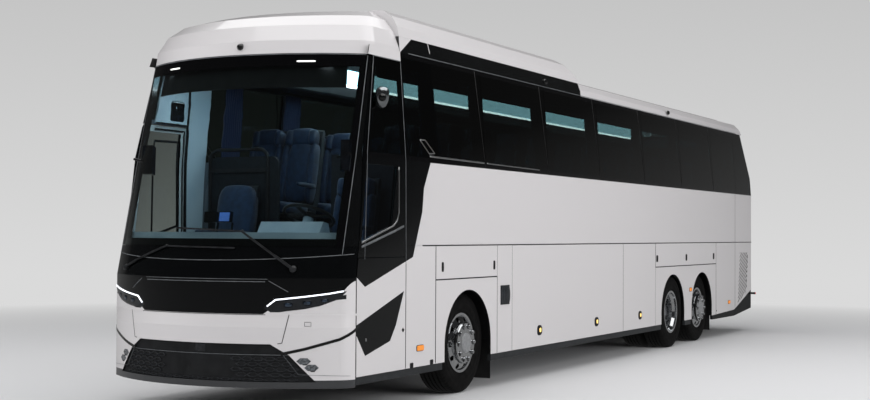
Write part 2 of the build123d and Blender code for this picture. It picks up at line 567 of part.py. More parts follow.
for side_name, side in SIDES:
    # upper side: belt panel, window pillars and cant rail in one frame
    with BuildPart() as side_upper:
        outline = [(side * x, z) for x, z in (
            (HALF, SERVICE_TOP_Z), (HALF, BELT_Z), (half_at(BELT_Z) - GLASS_STEP, BELT_Z),
            (half_at(CANT_Z) - GLASS_STEP, CANT_Z), (half_at(CANT_Z) - WALL, CANT_Z),
            (HALF - WALL, BELT_Z), (HALF - WALL, SERVICE_TOP_Z))]
        along_y(outline, (NOSE_Y + 200, TAIL_Y))
        bottom = HINGE_Z + GROOVE
        front_z = SERVICE_TOP_Z + PANEL_GAP if side > 0 else DOOR_TOP_Z + PANEL_GAP
        keep = [(SEAM_B_Y, front_z), (SEAM_B_Y, bottom), *rear_line(-PANEL_GAP / 2)]
        keep += reversed(seam_points(front_z, CANT_Z, PANEL_GAP / 2))
        along_x(keep, (side * (HALF - 300), side * (HALF + 10)), Mode.INTERSECT)
        through = (side * (HALF - 200), side * (HALF + 10))
        for y0, y1 in zip(PANE_Y, PANE_Y[1:]):
            box(through, (y0 + PILLAR / 2, y1 - PILLAR / 2), (BELT_Z + 40, CANT_Z - 50),
                Mode.SUBTRACT)
        last = [(PANE_Y[-1] + PILLAR / 2, BELT_Z + 40), (LAST_PANE[0][0] - 60, BELT_Z + 40),
                (LAST_PANE[1][0] - 90, LAST_PANE[1][1]), (LAST_PANE[2][0] - 70, CANT_Z - 50),
                (PANE_Y[-1] + PILLAR / 2, CANT_Z - 50)]
        along_x(last, through, Mode.SUBTRACT)
        # quarter window ahead of the first pillar
        quarter_z = BELT_Z + 40 if side > 0 else DOOR_TOP_Z + 50
        quarter = [(SEAM_B_Y - PILLAR / 2, quarter_z), (SEAM_B_Y - PILLAR / 2, CANT_Z - 50)]
        quarter += reversed(seam_points(quarter_z, CANT_Z - 50, 60))
        along_x(quarter, through, Mode.SUBTRACT)
        if side > 0:
            window = [(NOSE_Y + y, z) for y, z in DRIVER_WINDOW]
            along_x(window, through, Mode.SUBTRACT)
        # hinge rod under the panel, on a web
        rod_y = (SEAM_B_Y + PANEL_GAP / 2, REAR_SEAM_Y - PANEL_GAP)
        with Locations((side * ROD_X, sum(rod_y) / 2, HINGE_Z)):
            Cylinder(ROD, rod_y[1] - rod_y[0], rotation=(90, 0, 0))
        box((side * (ROD_X - 2), side * (ROD_X + 2)), rod_y, (HINGE_Z, bottom + 1))
    save(side_upper, f"side_upper_{side_name}")

    # side panes, flush with the belt panel
    with BuildPart() as side_glass:
        low, high = BELT_Z + 2, CANT_Z - 2
        pane = [(side * x, z) for x, z in (
            (half_at(low), low), (half_at(high), high),
            (half_at(high) - GLASS, high), (half_at(low) - GLASS, low))]
        for y0, y1 in zip(PANE_Y, PANE_Y[1:]):
            along_y(pane, (y0 + 3, y1 - 3))
    with BuildPart() as end_panes:
        along_y(pane, (NOSE_Y + 200, TAIL_Y))
        rear_pane = [(PANE_Y[-1] + 3, low), (LAST_PANE[0][0] - 4, low),
                     (LAST_PANE[1][0] - 6, LAST_PANE[1][1]), (LAST_PANE[2][0] - 6, high),
                     (PANE_Y[-1] + 3, high)]
        quarter_z = low if side > 0 else DOOR_TOP_Z + PANEL_GAP + 2
        front_pane = [(SEAM_B_Y - 3, quarter_z), (SEAM_B_Y - 3, high)]
        front_pane += reversed(seam_points(quarter_z, high, PANEL_GAP))
        ends = (side * (HALF - 200), side * (HALF + 10))
        along_x(front_pane, ends, Mode.INTERSECT)
    with BuildPart() as rear_end_pane:
        along_y(pane, (PANE_Y[-1], TAIL_Y))
        along_x(rear_pane, ends, Mode.INTERSECT)
    with BuildPart() as glass_set:
        add(side_glass.part)
        add(end_panes.part)
        add(rear_end_pane.part)
        if side > 0:
            window = [(NOSE_Y + y, z) for y, z in DRIVER_WINDOW]
            with BuildSketch(Plane.YZ.offset(HALF - 20)) as outline:
                with BuildLine():
                    Polyline(*window, close=True)
                make_face()
                offset(amount=-SEAT)
            extrude(outline.sketch, amount=GLASS)
    save(glass_set, f"side_glass_{side_name}")


# --------------------------------------------------------------- lower side panels
FLAP_SEAM = PANEL_GAP / 2
WHEEL_PANEL_Z = 1150.0       # lower edge of the removable panels over the wheels
# rising lower edge of the rear quarter, above the rear bumper: (y, z)
QUARTER_EDGE = ((TAG_AXLE_Y + ARCH_RADIUS, SILL_Z + 4), (TAIL_Y - 1150, SILL_Z + 38),
                (TAIL_Y - 120, SILL_Z + 320), (TAIL_Y + 40, SILL_Z + 345))
VENT_Y = (SEAM_D_Y + 82, SEAM_D_Y + 315)
VENT_Z = (846.0, 1049.0)


def arch(axle_y, xs, mode=Mode.SUBTRACT):
    """Wheel arch through a side panel: a half round carried down past the sill."""
    with BuildSketch(Plane.YZ.offset(min(xs))) as outline:
        with Locations((axle_y, HUB_Z)):
            Circle(ARCH_RADIUS)
        with Locations((axle_y, HUB_Z - 200)):
            Rectangle(2 * ARCH_RADIUS, 400)
    extrude(outline.sketch, amount=abs(xs[1] - xs[0]), mode=mode)


for side_name, side in SIDES:
    plate = (side * (HALF - WALL), side * HALF)
    through = (side * (HALF - WALL - 50), side * (HALF + 50))
    with BuildPart() as skirt:
        # fixed panels from the service flap back to the rear seam
        for y0, y1 in (
            (SEAM_B_Y, SEAM_C_Y), (SEAM_C_Y, SEAM_D_Y), (SEAM_D_Y, BAY_Y[0]),
            (BAY_Y[1], SEAM_F_Y), (SEAM_F_Y, REAR_SEAM_Y),
        ):
            box(plate, (y0 + FLAP_SEAM, y1 - FLAP_SEAM), (SILL_Z, PANEL_TOP_Z))
        for axle_y in (FRONT_AXLE_Y, DRIVE_AXLE_Y, TAG_AXLE_Y):
            arch(axle_y, through)
        for y0, y1 in ((SEAM_C_Y, SEAM_D_Y), (BAY_Y[1], SEAM_F_Y)):
            box(through, (y0, y1), (WHEEL_PANEL_Z - FLAP_SEAM, PANEL_TOP_Z + 10), Mode.SUBTRACT)
        along_x([*QUARTER_EDGE, (TAIL_Y + 40, 0), (TAG_AXLE_Y + ARCH_RADIUS, 0)], through,
                Mode.SUBTRACT)
        box(through, VENT_Y, VENT_Z, Mode.SUBTRACT)
    save(skirt, f"skirt_{side_name}")

with BuildPart() as wheel_panels:
    # lift-off panels over the wheels
    for side_name, side in SIDES:
        for y0, y1 in ((SEAM_C_Y, SEAM_D_Y), (BAY_Y[1], SEAM_F_Y)):
            box((side * (HALF - WALL), side * HALF), (y0 + FLAP_SEAM, y1 - FLAP_SEAM),
                (WHEEL_PANEL_Z - FLAP_SEAM + SEAT, PANEL_TOP_Z))
save(wheel_panels, "wheel_panels")

# luggage flaps hang from the hinge rod: (name, from, to)
for flap_name, y0, y1 in (("front", BAY_Y[0], SEAM_E_Y), ("rear", SEAM_E_Y, BAY_Y[1])):
    for side_name, side in SIDES:
        with BuildPart() as flap:
            box((side * (HALF - LEAF), side * HALF), (y0 + FLAP_SEAM, y1 - FLAP_SEAM),
                (SILL_Z, PANEL_TOP_Z))
        save(flap, f"flap_luggage_{flap_name}_{side_name}")

with BuildPart() as lower_trim:
    # black sill strips between the arches and below the front side panels
    for side_name, side in SIDES:
        plate = (side * (HALF - WALL), side * (HALF - 4))
        for y0, y1 in (
            (NOSE_Y + 580, FRONT_AXLE_Y - ARCH_RADIUS - 40),
            (FRONT_AXLE_Y + ARCH_RADIUS + 10, DRIVE_AXLE_Y - ARCH_RADIUS - 10),
            (DRIVE_AXLE_Y + ARCH_RADIUS + 40, TAG_AXLE_Y - ARCH_RADIUS - 40),
        ):
            box(plate, (y0, y1), (SILL_Z - 68, SILL_Z - SEAT))
        # clear of the doors and flaps that move
        for y0, y1 in ((NOSE_Y, SEAM_B_Y + FLAP_SEAM), (BAY_Y[0] - FLAP_SEAM, BAY_Y[1] + FLAP_SEAM)):
            box(plate, (y0, y1), (SILL_Z - PANEL_GAP, SILL_Z), Mode.SUBTRACT)
save(lower_trim, "lower_trim")


# ---------------------------------------------------------------------- front panels
SCREEN_EDGE = 1194.0         # half width of the windscreen
SCREEN_FLANGE = 65.0         # frame behind the edge of the glass
FRONT_BACK_Y = NOSE_Y + 1100
FRONT_CUT_Y = NOSE_Y + 470    # how far back cuts through the front panels reach
# lamp and grille outlines seen from the front: (x, z)
HEADLAMP = ((630.0, 950.0), (720.0, 1005.0), (1255.0, 1062.0), (1255.0, 1026.0),
            (1180.0, 1018.0), (1060.0, 965.0), (760.0, 912.0), (690.0, 912.0))
FOG_LAMPS = ((957.0, 490.0), (1015.0, 434.0))
FOG_RADIUS = 30.0
GRILLE = ((-690.0, 640.0), (690.0, 640.0), (840.0, 547.0), (1040.0, 320.0), (-1040.0, 320.0),
          (-840.0, 547.0))


def front_cut(points, grow=0.0, mode=Mode.SUBTRACT):
    """Carry an outline of (x, z) points back through the front of the body."""
    with BuildSketch(Plane.XZ.offset(-FRONT_CUT_Y)) as outline:
        with BuildLine():
            Polyline(*points, close=True)
        make_face()
        if grow:
            offset(amount=grow, kind=Kind.INTERSECTION)
    extrude(outline.sketch, amount=600, mode=mode)


def fog_cut(radius, mode=Mode.SUBTRACT):
    """Hexagonal fog lamp pockets on both sides."""
    with BuildSketch(Plane.XZ.offset(-FRONT_CUT_Y)) as outline:
        with Locations(*[(side * x, z) for x, z in FOG_LAMPS for side in (1, -1)]):
            RegularPolygon(radius, 6)
    extrude(outline.sketch, amount=600, mode=mode)


with BuildPart() as bumper_front:
    nose_skin(LIP_Z, MASK_Z - FLAP_SEAM, 0, WALL, FRONT_BACK_Y)
    cut_behind_seam(PANEL_GAP)
    front_cut(GRILLE, SEAT)
    fog_cut(FOG_RADIUS + SEAT)
save(bumper_front, "bumper_front")

with BuildPart() as mask_front:
    nose_skin(MASK_Z + FLAP_SEAM, SCREEN_Z - FLAP_SEAM, 0, WALL, FRONT_BACK_Y)
    cut_behind_seam(PANEL_GAP)
    for side in (1, -1):
        front_cut([(side * x, z) for x, z in HEADLAMP], SEAT)
save(mask_front, "mask_front")

with BuildPart() as screen_band:
    # the skin between mask and roof, beside the windscreen
    nose_skin(SCREEN_Z, SCREEN_TOP_Z, 0, WALL, FRONT_BACK_Y)
    box((-SCREEN_EDGE, SCREEN_EDGE), (NOSE_Y - 10, FRONT_BACK_Y + 10), (0, ROOF_Z), Mode.SUBTRACT)
    cut_behind_seam(PANEL_GAP)

with BuildPart() as front_frame:
    # inner frame with the windscreen opening, and the corner covers outside it
    nose_skin(LIP_Z + 60, SCREEN_Z, WALL + SEAT, WALL + FRAME_SKIN, FRONT_BACK_Y)
with BuildPart() as screen_frame:
    nose_skin(SCREEN_Z - 1, SCREEN_TOP_Z, GLASS + SEAT, WALL + FRAME_SKIN, FRONT_BACK_Y)
    half = SCREEN_EDGE - SCREEN_FLANGE
    box((-half, half), (NOSE_Y - 10, FRONT_BACK_Y + 10),
        (SCREEN_Z + SCREEN_FLANGE, SCREEN_TOP_Z - SCREEN_FLANGE), Mode.SUBTRACT)
    cut_behind_seam(PANEL_GAP)
with front_frame:
    cut_behind_seam(PANEL_GAP)
    # open behind the lower grille, for the cooling air
    box((-600, 600), (NOSE_Y - 10, NOSE_Y + 400), (LIP_Z + 120, 620), Mode.SUBTRACT)
    add(screen_frame.part)
    add(screen_band.part)
    # upright hinge rod of the driver's side service flap, on a web from the frame
    rod_y = seam_y(SILL_Z) + SERVICE_ROD
    rod_z = (LIP_Z + 90, RAKE_Z)
    with Locations((ROD_X, rod_y, sum(rod_z) / 2)):
        Cylinder(ROD, rod_z[1] - rod_z[0])
    back_x = HALF - WALL - SEAT
    box((back_x - FRAME_SKIN, ROD_X), (rod_y - 2, rod_y + 2), rod_z)
    box((back_x - FRAME_SKIN, back_x), (seam_y(SILL_Z) - PANEL_GAP / 2 - 1, rod_y + 2), rod_z)
save(front_frame, "front_frame")

with BuildPart() as windscreen:
    nose_skin(SCREEN_Z + SEAT, SCREEN_TOP_Z - SEAT, 0, GLASS, FRONT_BACK_Y)
    half = SCREEN_EDGE - SEAT
    box((-half, half), (NOSE_Y - 10, NOSE_Y + 1500), (SCREEN_Z, SCREEN_TOP_Z), Mode.INTERSECT)
    cut_behind_seam(PANEL_GAP)
save(windscreen, "windscreen")

with BuildPart() as lamps_front:
    nose_skin(MASK_Z + 10, RAKE_Z - 20, 3, WALL - 1, FRONT_BACK_Y)
    with BuildSketch(Plane.XZ.offset(-FRONT_CUT_Y)) as outline:
        for side in (1, -1):
            with BuildLine():
                Polyline(*[(side * x, z) for x, z in HEADLAMP], close=True)
            make_face()
    extrude(outline.sketch, amount=600, mode=Mode.INTERSECT)
with BuildPart() as fog_lamps:
    nose_skin(LIP_Z + 60, MASK_Z - 150, 3, WALL - 1, FRONT_BACK_Y)
    fog_cut(FOG_RADIUS, Mode.INTERSECT)
with lamps_front:
    add(fog_lamps.part)
save(lamps_front, "lamps_front")

with BuildPart() as grilles:
    # lower front grille, side vents and rear louvres
    nose_skin(LIP_Z + 10, MASK_Z - 150, 14, WALL - 1, FRONT_BACK_Y)
    front_cut(GRILLE, 0, Mode.INTERSECT)
    for side_name, side in SIDES:
        plate = (side * (HALF - WALL + 10), side * (HALF - 8))
        box(plate, (VENT_Y[0] + SEAT, VENT_Y[1] - SEAT), (VENT_Z[0] + SEAT, VENT_Z[1] - SEAT))
save(grilles, "grilles")


# ------------------------------------------------------------------------------ roof
CROWN_X = 1095.0             # roof shoulder, half width
CROWN_Z = 3425.0
EDGE_Z = CANT_Z + SEAT
COVE_TOP_Z = 3405.0
ROOF_FRONT_Y = SEAM_B_Y
ROOF_REAR_Y = TAIL_Y - 450
COVE_END_Y = FRONT_AXLE_Y + 3170      # where the raised roof edge steps down
POD_END_Y = FRONT_AXLE_Y + 3250


def crown(grow, ys, mode=Mode.ADD):
    """The roof's outer form, or its hollow with a negative growth."""
    top = ROOF_Z + grow
    with BuildSketch(Plane.XZ.offset(-max(ys))) as outline:
        with BuildLine():
            edge = half_at(EDGE_Z) + grow
            shoulder = (CROWN_X + grow * 0.5, CROWN_Z + grow * 0.87)
            ThreePointArc((-shoulder[0], shoulder[1]), (0, top), shoulder)
            Polyline(shoulder, (edge - 34, EDGE_Z + 88), (edge, EDGE_Z), (-edge, EDGE_Z),
                     (-edge + 34, EDGE_Z + 88), (-shoulder[0], shoulder[1]))
        make_face()
    extrude(outline.sketch, amount=abs(ys[1] - ys[0]), mode=mode)


with BuildPart() as roof:
    crown(0, (ROOF_FRONT_Y, ROOF_REAR_Y))
    crown(-ROOF_WALL, (ROOF_FRONT_Y - 1, ROOF_REAR_Y - 240), Mode.SUBTRACT)
    box((-HALF, HALF), (ROOF_FRONT_Y - 1, ROOF_REAR_Y + 1), (EDGE_Z - 5, EDGE_Z), Mode.SUBTRACT)
    # recess for the raised roof edge
    for side in (1, -1):
        box((side * (half_at(COVE_TOP_Z) - WALL - 4), side * HALF),
            (ROOF_FRONT_Y - 1, POD_END_Y + SEAT), (EDGE_Z - 1, ROOF_Z), Mode.SUBTRACT)
    # the rear end rolls down to the tail
    along_x([(ROOF_REAR_Y + 10, CANT_Z + 60), (ROOF_REAR_Y - 160, ROOF_Z + 10),
             (ROOF_REAR_Y + 10, ROOF_Z + 10)], (-HALF, HALF), Mode.SUBTRACT)
save(roof, "roof")

with BuildPart() as roof_coves:
    # black raised edge above the front side glass
    for side_name, side in SIDES:
        along_y(side_section(EDGE_Z, COVE_TOP_Z, 0, WALL, side), (ROOF_FRONT_Y, POD_END_Y))
    keep = [(ROOF_FRONT_Y, EDGE_Z), (ROOF_FRONT_Y + 240, COVE_TOP_Z), (COVE_END_Y, COVE_TOP_Z),
            (POD_END_Y, EDGE_Z + 60), (POD_END_Y, EDGE_Z)]
    along_x(keep, (-HALF, HALF), Mode.INTERSECT)
save(roof_coves, "roof_coves")

POD = ((1187.0, COVE_TOP_Z + SEAT), (1165.0, 3500.0), (1110.0, 3600.0), (1020.0, 3655.0),
       (900.0, POD_Z), (800.0, 3640.0), (740.0, 3530.0), (740.0, COVE_TOP_Z + SEAT))
with BuildPart() as roof_pods:
    # long fairings along both shoulders, sloping down at the rear
    for side_name, side in SIDES:
        along_y([(side * x, z) for x, z in POD], (ROOF_FRONT_Y + SEAT, POD_END_Y))
    along_x([(POD_END_Y + 10, COVE_TOP_Z - 10), (POD_END_Y + 10, POD_Z + 10),
             (COVE_END_Y - 360, POD_Z + 10), (POD_END_Y - 20, EDGE_Z + 190)],
            (-HALF, HALF), Mode.SUBTRACT)
    crown(SEAT, (ROOF_FRONT_Y - 1, POD_END_Y + 1), Mode.SUBTRACT)
save(roof_pods, "roof_pods")

CAP_PLANS = ((SCREEN_TOP_Z + SEAT, 0.0, 0.0), (3300.0, 8.0, -6.0), (3450.0, 55.0, 70.0),
             (3560.0, 130.0, 230.0), (3640.0, 260.0, 520.0))   # (height, side in, tip back)
with BuildPart() as roof_cap:
    # domed front of the roof over the windscreen
    loft_plans([(z, half_at(z) - inward, nose_at(z) + back) for z, inward, back in CAP_PLANS],
               NOSE_RADIUS, CORNER_RADIUS, ROOF_FRONT_Y - SEAT)
    loft_plans([(z - (1 if n == 0 else ROOF_WALL), half_at(z) - inward - ROOF_WALL,
                 nose_at(z) + back + ROOF_WALL) for n, (z, inward, back) in enumerate(CAP_PLANS)],
               NOSE_RADIUS - ROOF_WALL, CORNER_RADIUS - ROOF_WALL, ROOF_FRONT_Y + 10,
               Mode.SUBTRACT)
    # open above the side panes
    low = [(seam_y(SCREEN_TOP_Z) - 5, SCREEN_TOP_Z - 10), (seam_y(CANT_Z - 3), EDGE_Z),
           (ROOF_FRONT_Y + 10, EDGE_Z), (ROOF_FRONT_Y + 10, SCREEN_TOP_Z - 10)]
    along_x(low, (-HALF, HALF), Mode.SUBTRACT)
save(roof_cap, "roof_cap")


# ------------------------------------------------------------------------------ rear
REAR_BAND_Z = 700.0          # top of the rear bumper across the tail
LID_X = 880.0
LID_Z = (740.0, 1700.0)      # lower edge and hinge of the engine lid
LID_ROD_X = 350.0            # half length of its hinge rod
LID_ROD_Y = TAIL_Y - 14.0
LID_GROOVE = 18.0
REAR_WINDOW_X = 960.0
REAR_WINDOW_Z = (2300.0, 3120.0)
REAR_LAMP = ((1010.0, 1180.0), (760.0, 1440.0))    # (x limits, z limits)
REAR_FRONT_Y = REAR_SEAM_Y + FLAP_SEAM
# louvred panel on each rear corner: (y, z) outline, then its slots
LOUVRE = ((TAIL_Y - 792, 1306.0), (TAIL_Y - 317, 1302.0), (TAIL_Y - 414, 662.0),
          (TAIL_Y - 930, 470.0))
LOUVRE_RISE = 30.0           # the slots climb towards the tail, in degrees
LOUVRE_PITCH = 52.0
LOUVRE_SLOT = 18.0
LOUVRE_SLOPE = 35.0          # each slot drains outwards at this angle


def louvre_slots(side):
    """Slanting slots through a rear corner, trimmed to the louvred outline."""
    low_y, low_z = (min(values) for values in zip(*LOUVRE))
    wide, tall = (max(values) - min(values) for values in zip(*LOUVRE))
    rise = radians(LOUVRE_RISE)
    climb = wide * tan(rise)
    reach = wide / cos(rise) + (tall + climb) * sin(rise)
    outside, inside = side * WALL * 0.2, -side * WALL * 1.2
    fall = WALL * 1.4 * tan(radians(LOUVRE_SLOPE))
    start = Plane(origin=(side * HALF, low_y, low_z - climb), x_dir=(1, 0, 0),
                  z_dir=(0, -cos(rise), -sin(rise)))
    with BuildPart() as slots:
        with BuildSketch(start) as ends:
            with Locations(*[(0, LOUVRE_PITCH * n) for n in range(int((tall + climb) / LOUVRE_PITCH))]):
                Polygon((outside, 0), (outside, LOUVRE_SLOT), (inside, fall + LOUVRE_SLOT),
                        (inside, fall), align=None)
        extrude(ends.sketch, amount=-reach)
        along_x(LOUVRE, (side * (HALF - WALL - 20), side * (HALF + 10)), Mode.INTERSECT)
    return slots.part


def rear_cut(xs, zs, mode=Mode.SUBTRACT):
    """A rectangular opening through the tail."""
    box(xs, (TAIL_Y - 900, TAIL_Y + 20), zs, mode)


with BuildPart() as tail_upper:
    tail(SILL_Z, EDGE_Z - SEAT, 0, REAR_FRONT_Y)
    tail(SILL_Z - 1, EDGE_Z + 1, WALL, REAR_FRONT_Y - 10, Mode.SUBTRACT)
with BuildPart() as rear_wall:
    add(tail_upper.part)
    # clear of the upper side panels and their glass, and of the rising bumper edge
    clear = rear_line(PANEL_GAP / 2)
    clear[0] = (clear[0][0], BELT_Z - 1)
    along_x([(REAR_FRONT_Y - 20, BELT_Z), clear[1], *clear[2:], (clear[-1][0], EDGE_Z + 10),
             (REAR_FRONT_Y - 20, EDGE_Z + 10)], (-HALF - 10, HALF + 10), Mode.SUBTRACT)
    along_x([*QUARTER_EDGE, (TAIL_Y + 40, 0), (TAG_AXLE_Y + ARCH_RADIUS, 0)],
            (-HALF - 10, HALF + 10), Mode.SUBTRACT)
    rear_cut((-LID_X - PANEL_GAP, LID_X + PANEL_GAP), (LID_Z[0] - 10, LID_Z[1] + LID_GROOVE))
    rear_cut((-REAR_WINDOW_X + 40, REAR_WINDOW_X - 40), (REAR_WINDOW_Z[0] + 40, REAR_WINDOW_Z[1] - 40))
    for side_name, side in SIDES:
        xs, zs = REAR_LAMP
        rear_cut((side * (xs[0] - SEAT), side * (xs[1] + SEAT)), (zs[0] - SEAT, zs[1] + SEAT))
        add(louvre_slots(side), mode=Mode.SUBTRACT)
    # hinge rod of the engine lid, on a web
    with Locations((0, LID_ROD_Y, LID_Z[1])):
        Cylinder(ROD, 2 * LID_ROD_X, rotation=(0, 90, 0))
    box((-LID_ROD_X, LID_ROD_X), (LID_ROD_Y - 2, LID_ROD_Y + 2), (LID_Z[1], LID_Z[1] + LID_GROOVE + 1))
with BuildPart() as rear_glass:
    tail(REAR_WINDOW_Z[0], REAR_WINDOW_Z[1], 0, TAIL_Y - 900)
    tail(REAR_WINDOW_Z[0] - 1, REAR_WINDOW_Z[1] + 1, GLASS, TAIL_Y - 901, Mode.SUBTRACT)
    half = REAR_WINDOW_X - SEAT
    box((-half, half), (TAIL_Y - 600, TAIL_Y + 20), (0, ROOF_Z), Mode.INTERSECT)
with BuildPart() as pane_seat:
    tail(REAR_WINDOW_Z[0] - SEAT, REAR_WINDOW_Z[1] + SEAT, -5, TAIL_Y - 900)
    tail(REAR_WINDOW_Z[0] - 2, REAR_WINDOW_Z[1] + 2, GLASS + SEAT, TAIL_Y - 901, Mode.SUBTRACT)
    box((-REAR_WINDOW_X, REAR_WINDOW_X), (TAIL_Y - 600, TAIL_Y + 20), (0, ROOF_Z), Mode.INTERSECT)
with rear_wall:
    add(pane_seat.part, mode=Mode.SUBTRACT)
save(rear_wall, "rear_wall")
save(rear_glass, "rear_glass")

with BuildPart() as engine_lid:
    tail(LID_Z[0], LID_Z[1] - ROD - SEAT, 0, TAIL_Y - 400)
    tail(LID_Z[0] - 1, LID_Z[1] + 1, WALL, TAIL_Y - 401, Mode.SUBTRACT)
    box((-LID_X, LID_X), (TAIL_Y - 300, TAIL_Y + 20), LID_Z, Mode.INTERSECT)
save(engine_lid, "engine_lid")

with BuildPart() as lamps_rear:
    xs, zs = REAR_LAMP
    tail(zs[0], zs[1], 2, TAIL_Y - 400)
    tail(zs[0] - 1, zs[1] + 1, WALL, TAIL_Y - 401, Mode.SUBTRACT)
    box((-xs[1], xs[1]), (TAIL_Y - 300, TAIL_Y + 20), zs, Mode.INTERSECT)
    box((-xs[0], xs[0]), (TAIL_Y - 300, TAIL_Y + 20), (zs[0] - 1, zs[1] + 1), Mode.SUBTRACT)
save(lamps_rear, "lamps_rear")

BUMPER_DROP = 62.0
with BuildPart() as bumper_rear:
    # black band that rises towards the tail and wraps round it
    front = TAG_AXLE_Y + ARCH_RADIUS + 40
    tail(SILL_Z - BUMPER_DROP - 10, REAR_BAND_Z, 3, front)
    tail(SILL_Z - BUMPER_DROP - 11, REAR_BAND_Z + 1, WALL, front - 10, Mode.SUBTRACT)
    top = [(y, z - SEAT) for y, z in QUARTER_EDGE]
    low = [(y, z - drop) for (y, z), drop in zip(QUARTER_EDGE, (64, 100, 300, 330))]
    along_x([*top, *reversed(low)], (-HALF - 10, HALF + 10), Mode.INTERSECT)
save(bumper_rear, "bumper_rear")


# ---------------------------------------------------------------- doors on the sides
COLUMN = (-HALF + 95, NOSE_Y + 720)          # turning column of the entrance door (x, y)
LEAF_PIVOT = (-HALF + 66, NOSE_Y + 1190)     # arm to leaf
COLUMN_RADIUS = 18.0
ARM_Z = (760.0, 1380.0)      # heights of the two door arms
COLUMN_TOP_Z = 1560.0
ARM_HEIGHT = 40.0
PIN_RADIUS = 9.0
DOOR_WINDOW_Z = (1500.0, 2560.0)
DOOR_FRAME = 75.0


def door_edge(z_low, z_high, in_front, in_rear):
    """Outline of the entrance door in (y, z), set in from its opening."""
    points = seam_points(z_low, z_high, PANEL_GAP / 2 + in_front)
    return [*points, (DOOR_REAR_Y - in_rear, z_high), (DOOR_REAR_Y - in_rear, z_low)]


with BuildPart() as door_window:
    along_y(side_section(SILL_Z, DOOR_TOP_Z, -5, LEAF + 5, -1), (NOSE_Y + 200, DOOR_REAR_Y))
    along_x(door_edge(*DOOR_WINDOW_Z, DOOR_GAP + DOOR_FRAME, DOOR_FRAME + 4),
            (-HALF - 20, -HALF + 200), Mode.INTERSECT)
with BuildPart() as door_front:
    along_y(side_section(SILL_Z + 6, DOOR_TOP_Z, 0, LEAF, -1), (NOSE_Y + 200, DOOR_REAR_Y))
    along_x(door_edge(SILL_Z + 6, DOOR_TOP_Z, DOOR_GAP - PANEL_GAP / 2, 4),
            (-HALF - 20, -HALF + 200), Mode.INTERSECT)
    add(door_window.part, mode=Mode.SUBTRACT)
    # brackets with the pins that the arms turn on
    for z in ARM_Z:
        for up in (1, -1):
            low = z + up * (ARM_HEIGHT / 2 + 6)
            box((-half_at(z) + LEAF - 4, LEAF_PIVOT[0] + 14),
                (LEAF_PIVOT[1] - 14, LEAF_PIVOT[1] + 14), sorted((low, low + up * 12)))
        with Locations((*LEAF_PIVOT, z)):
            Cylinder(PIN_RADIUS, ARM_HEIGHT + 30)
save(door_front, "door_front")

with BuildPart() as door_front_glass:
    along_y(side_section(SILL_Z, DOOR_TOP_Z, 4, 10, -1), (NOSE_Y + 200, DOOR_REAR_Y))
    along_x(door_edge(DOOR_WINDOW_Z[0] + SEAT, DOOR_WINDOW_Z[1] - SEAT,
                      DOOR_GAP + DOOR_FRAME + SEAT, DOOR_FRAME + 4 + SEAT),
            (-HALF - 20, -HALF + 200), Mode.INTERSECT)
save(door_front_glass, "door_front_glass")

with BuildPart() as door_front_arm:
    # column with two arms that reach the leaf
    foot_z = SILL_Z + 20 + CEILING + SEAT
    with Locations((*COLUMN, (foot_z + COLUMN_TOP_Z) / 2)):
        Cylinder(COLUMN_RADIUS, COLUMN_TOP_Z - foot_z)
    for z in ARM_Z:
        with BuildSketch(Plane.XY.offset(z - ARM_HEIGHT / 2)) as arm:
            with BuildLine():
                Polyline((COLUMN[0] - 12, COLUMN[1]), (COLUMN[0] + 12, COLUMN[1]),
                         (LEAF_PIVOT[0] + 15, LEAF_PIVOT[1]), (LEAF_PIVOT[0] - 15, LEAF_PIVOT[1]),
                         close=True)
            make_face()
            with Locations(LEAF_PIVOT):
                Circle(18)
        extrude(arm.sketch, amount=ARM_HEIGHT)
        with Locations((*LEAF_PIVOT, z)):
            Hole(PIN_RADIUS + 0.08)
save(door_front_arm, "door_front_arm")

with BuildPart() as flap_service:
    # flap ahead of the front wheel on the driver's side, hinged at its front edge
    along_y(side_section(SILL_Z, SERVICE_TOP_Z, 0, LEAF, 1), (NOSE_Y + 200, SEAM_B_Y))
    keep = [*seam_points(SILL_Z, SERVICE_TOP_Z, SERVICE_ROD + ROD + SEAT),
            (SEAM_B_Y - FLAP_SEAM, SERVICE_TOP_Z), (SEAM_B_Y - FLAP_SEAM, SILL_Z)]
    along_x(keep, (HALF - 200, HALF + 10), Mode.INTERSECT)
save(flap_service, "flap_service")


# ---------------------------------------------------------------------- steering wheel
WHEEL_CENTRE = (650.0, NOSE_Y + 800, 1735.0)
WHEEL_TILT = 25.0            # the wheel's face leans towards the driver
RIM_MAJOR = 228.0
RIM_MINOR = 15.0
HUB_DISC = 62.0
steer_plane = Plane(WHEEL_CENTRE, x_dir=(1, 0, 0),
                    z_dir=(0, sin(radians(WHEEL_TILT)), cos(radians(WHEEL_TILT))))
with BuildPart(steer_plane) as steering_wheel:
    Torus(RIM_MAJOR, RIM_MINOR)
    Cylinder(HUB_DISC, 36)
    for turn in (0, 180, 270):
        with Locations(Rotation(0, 0, turn)):
            with Locations((RIM_MAJOR / 2 + 10, 0, -4)):
                Box(RIM_MAJOR - 20, 34, 16)
save(steering_wheel, "steering_wheel")


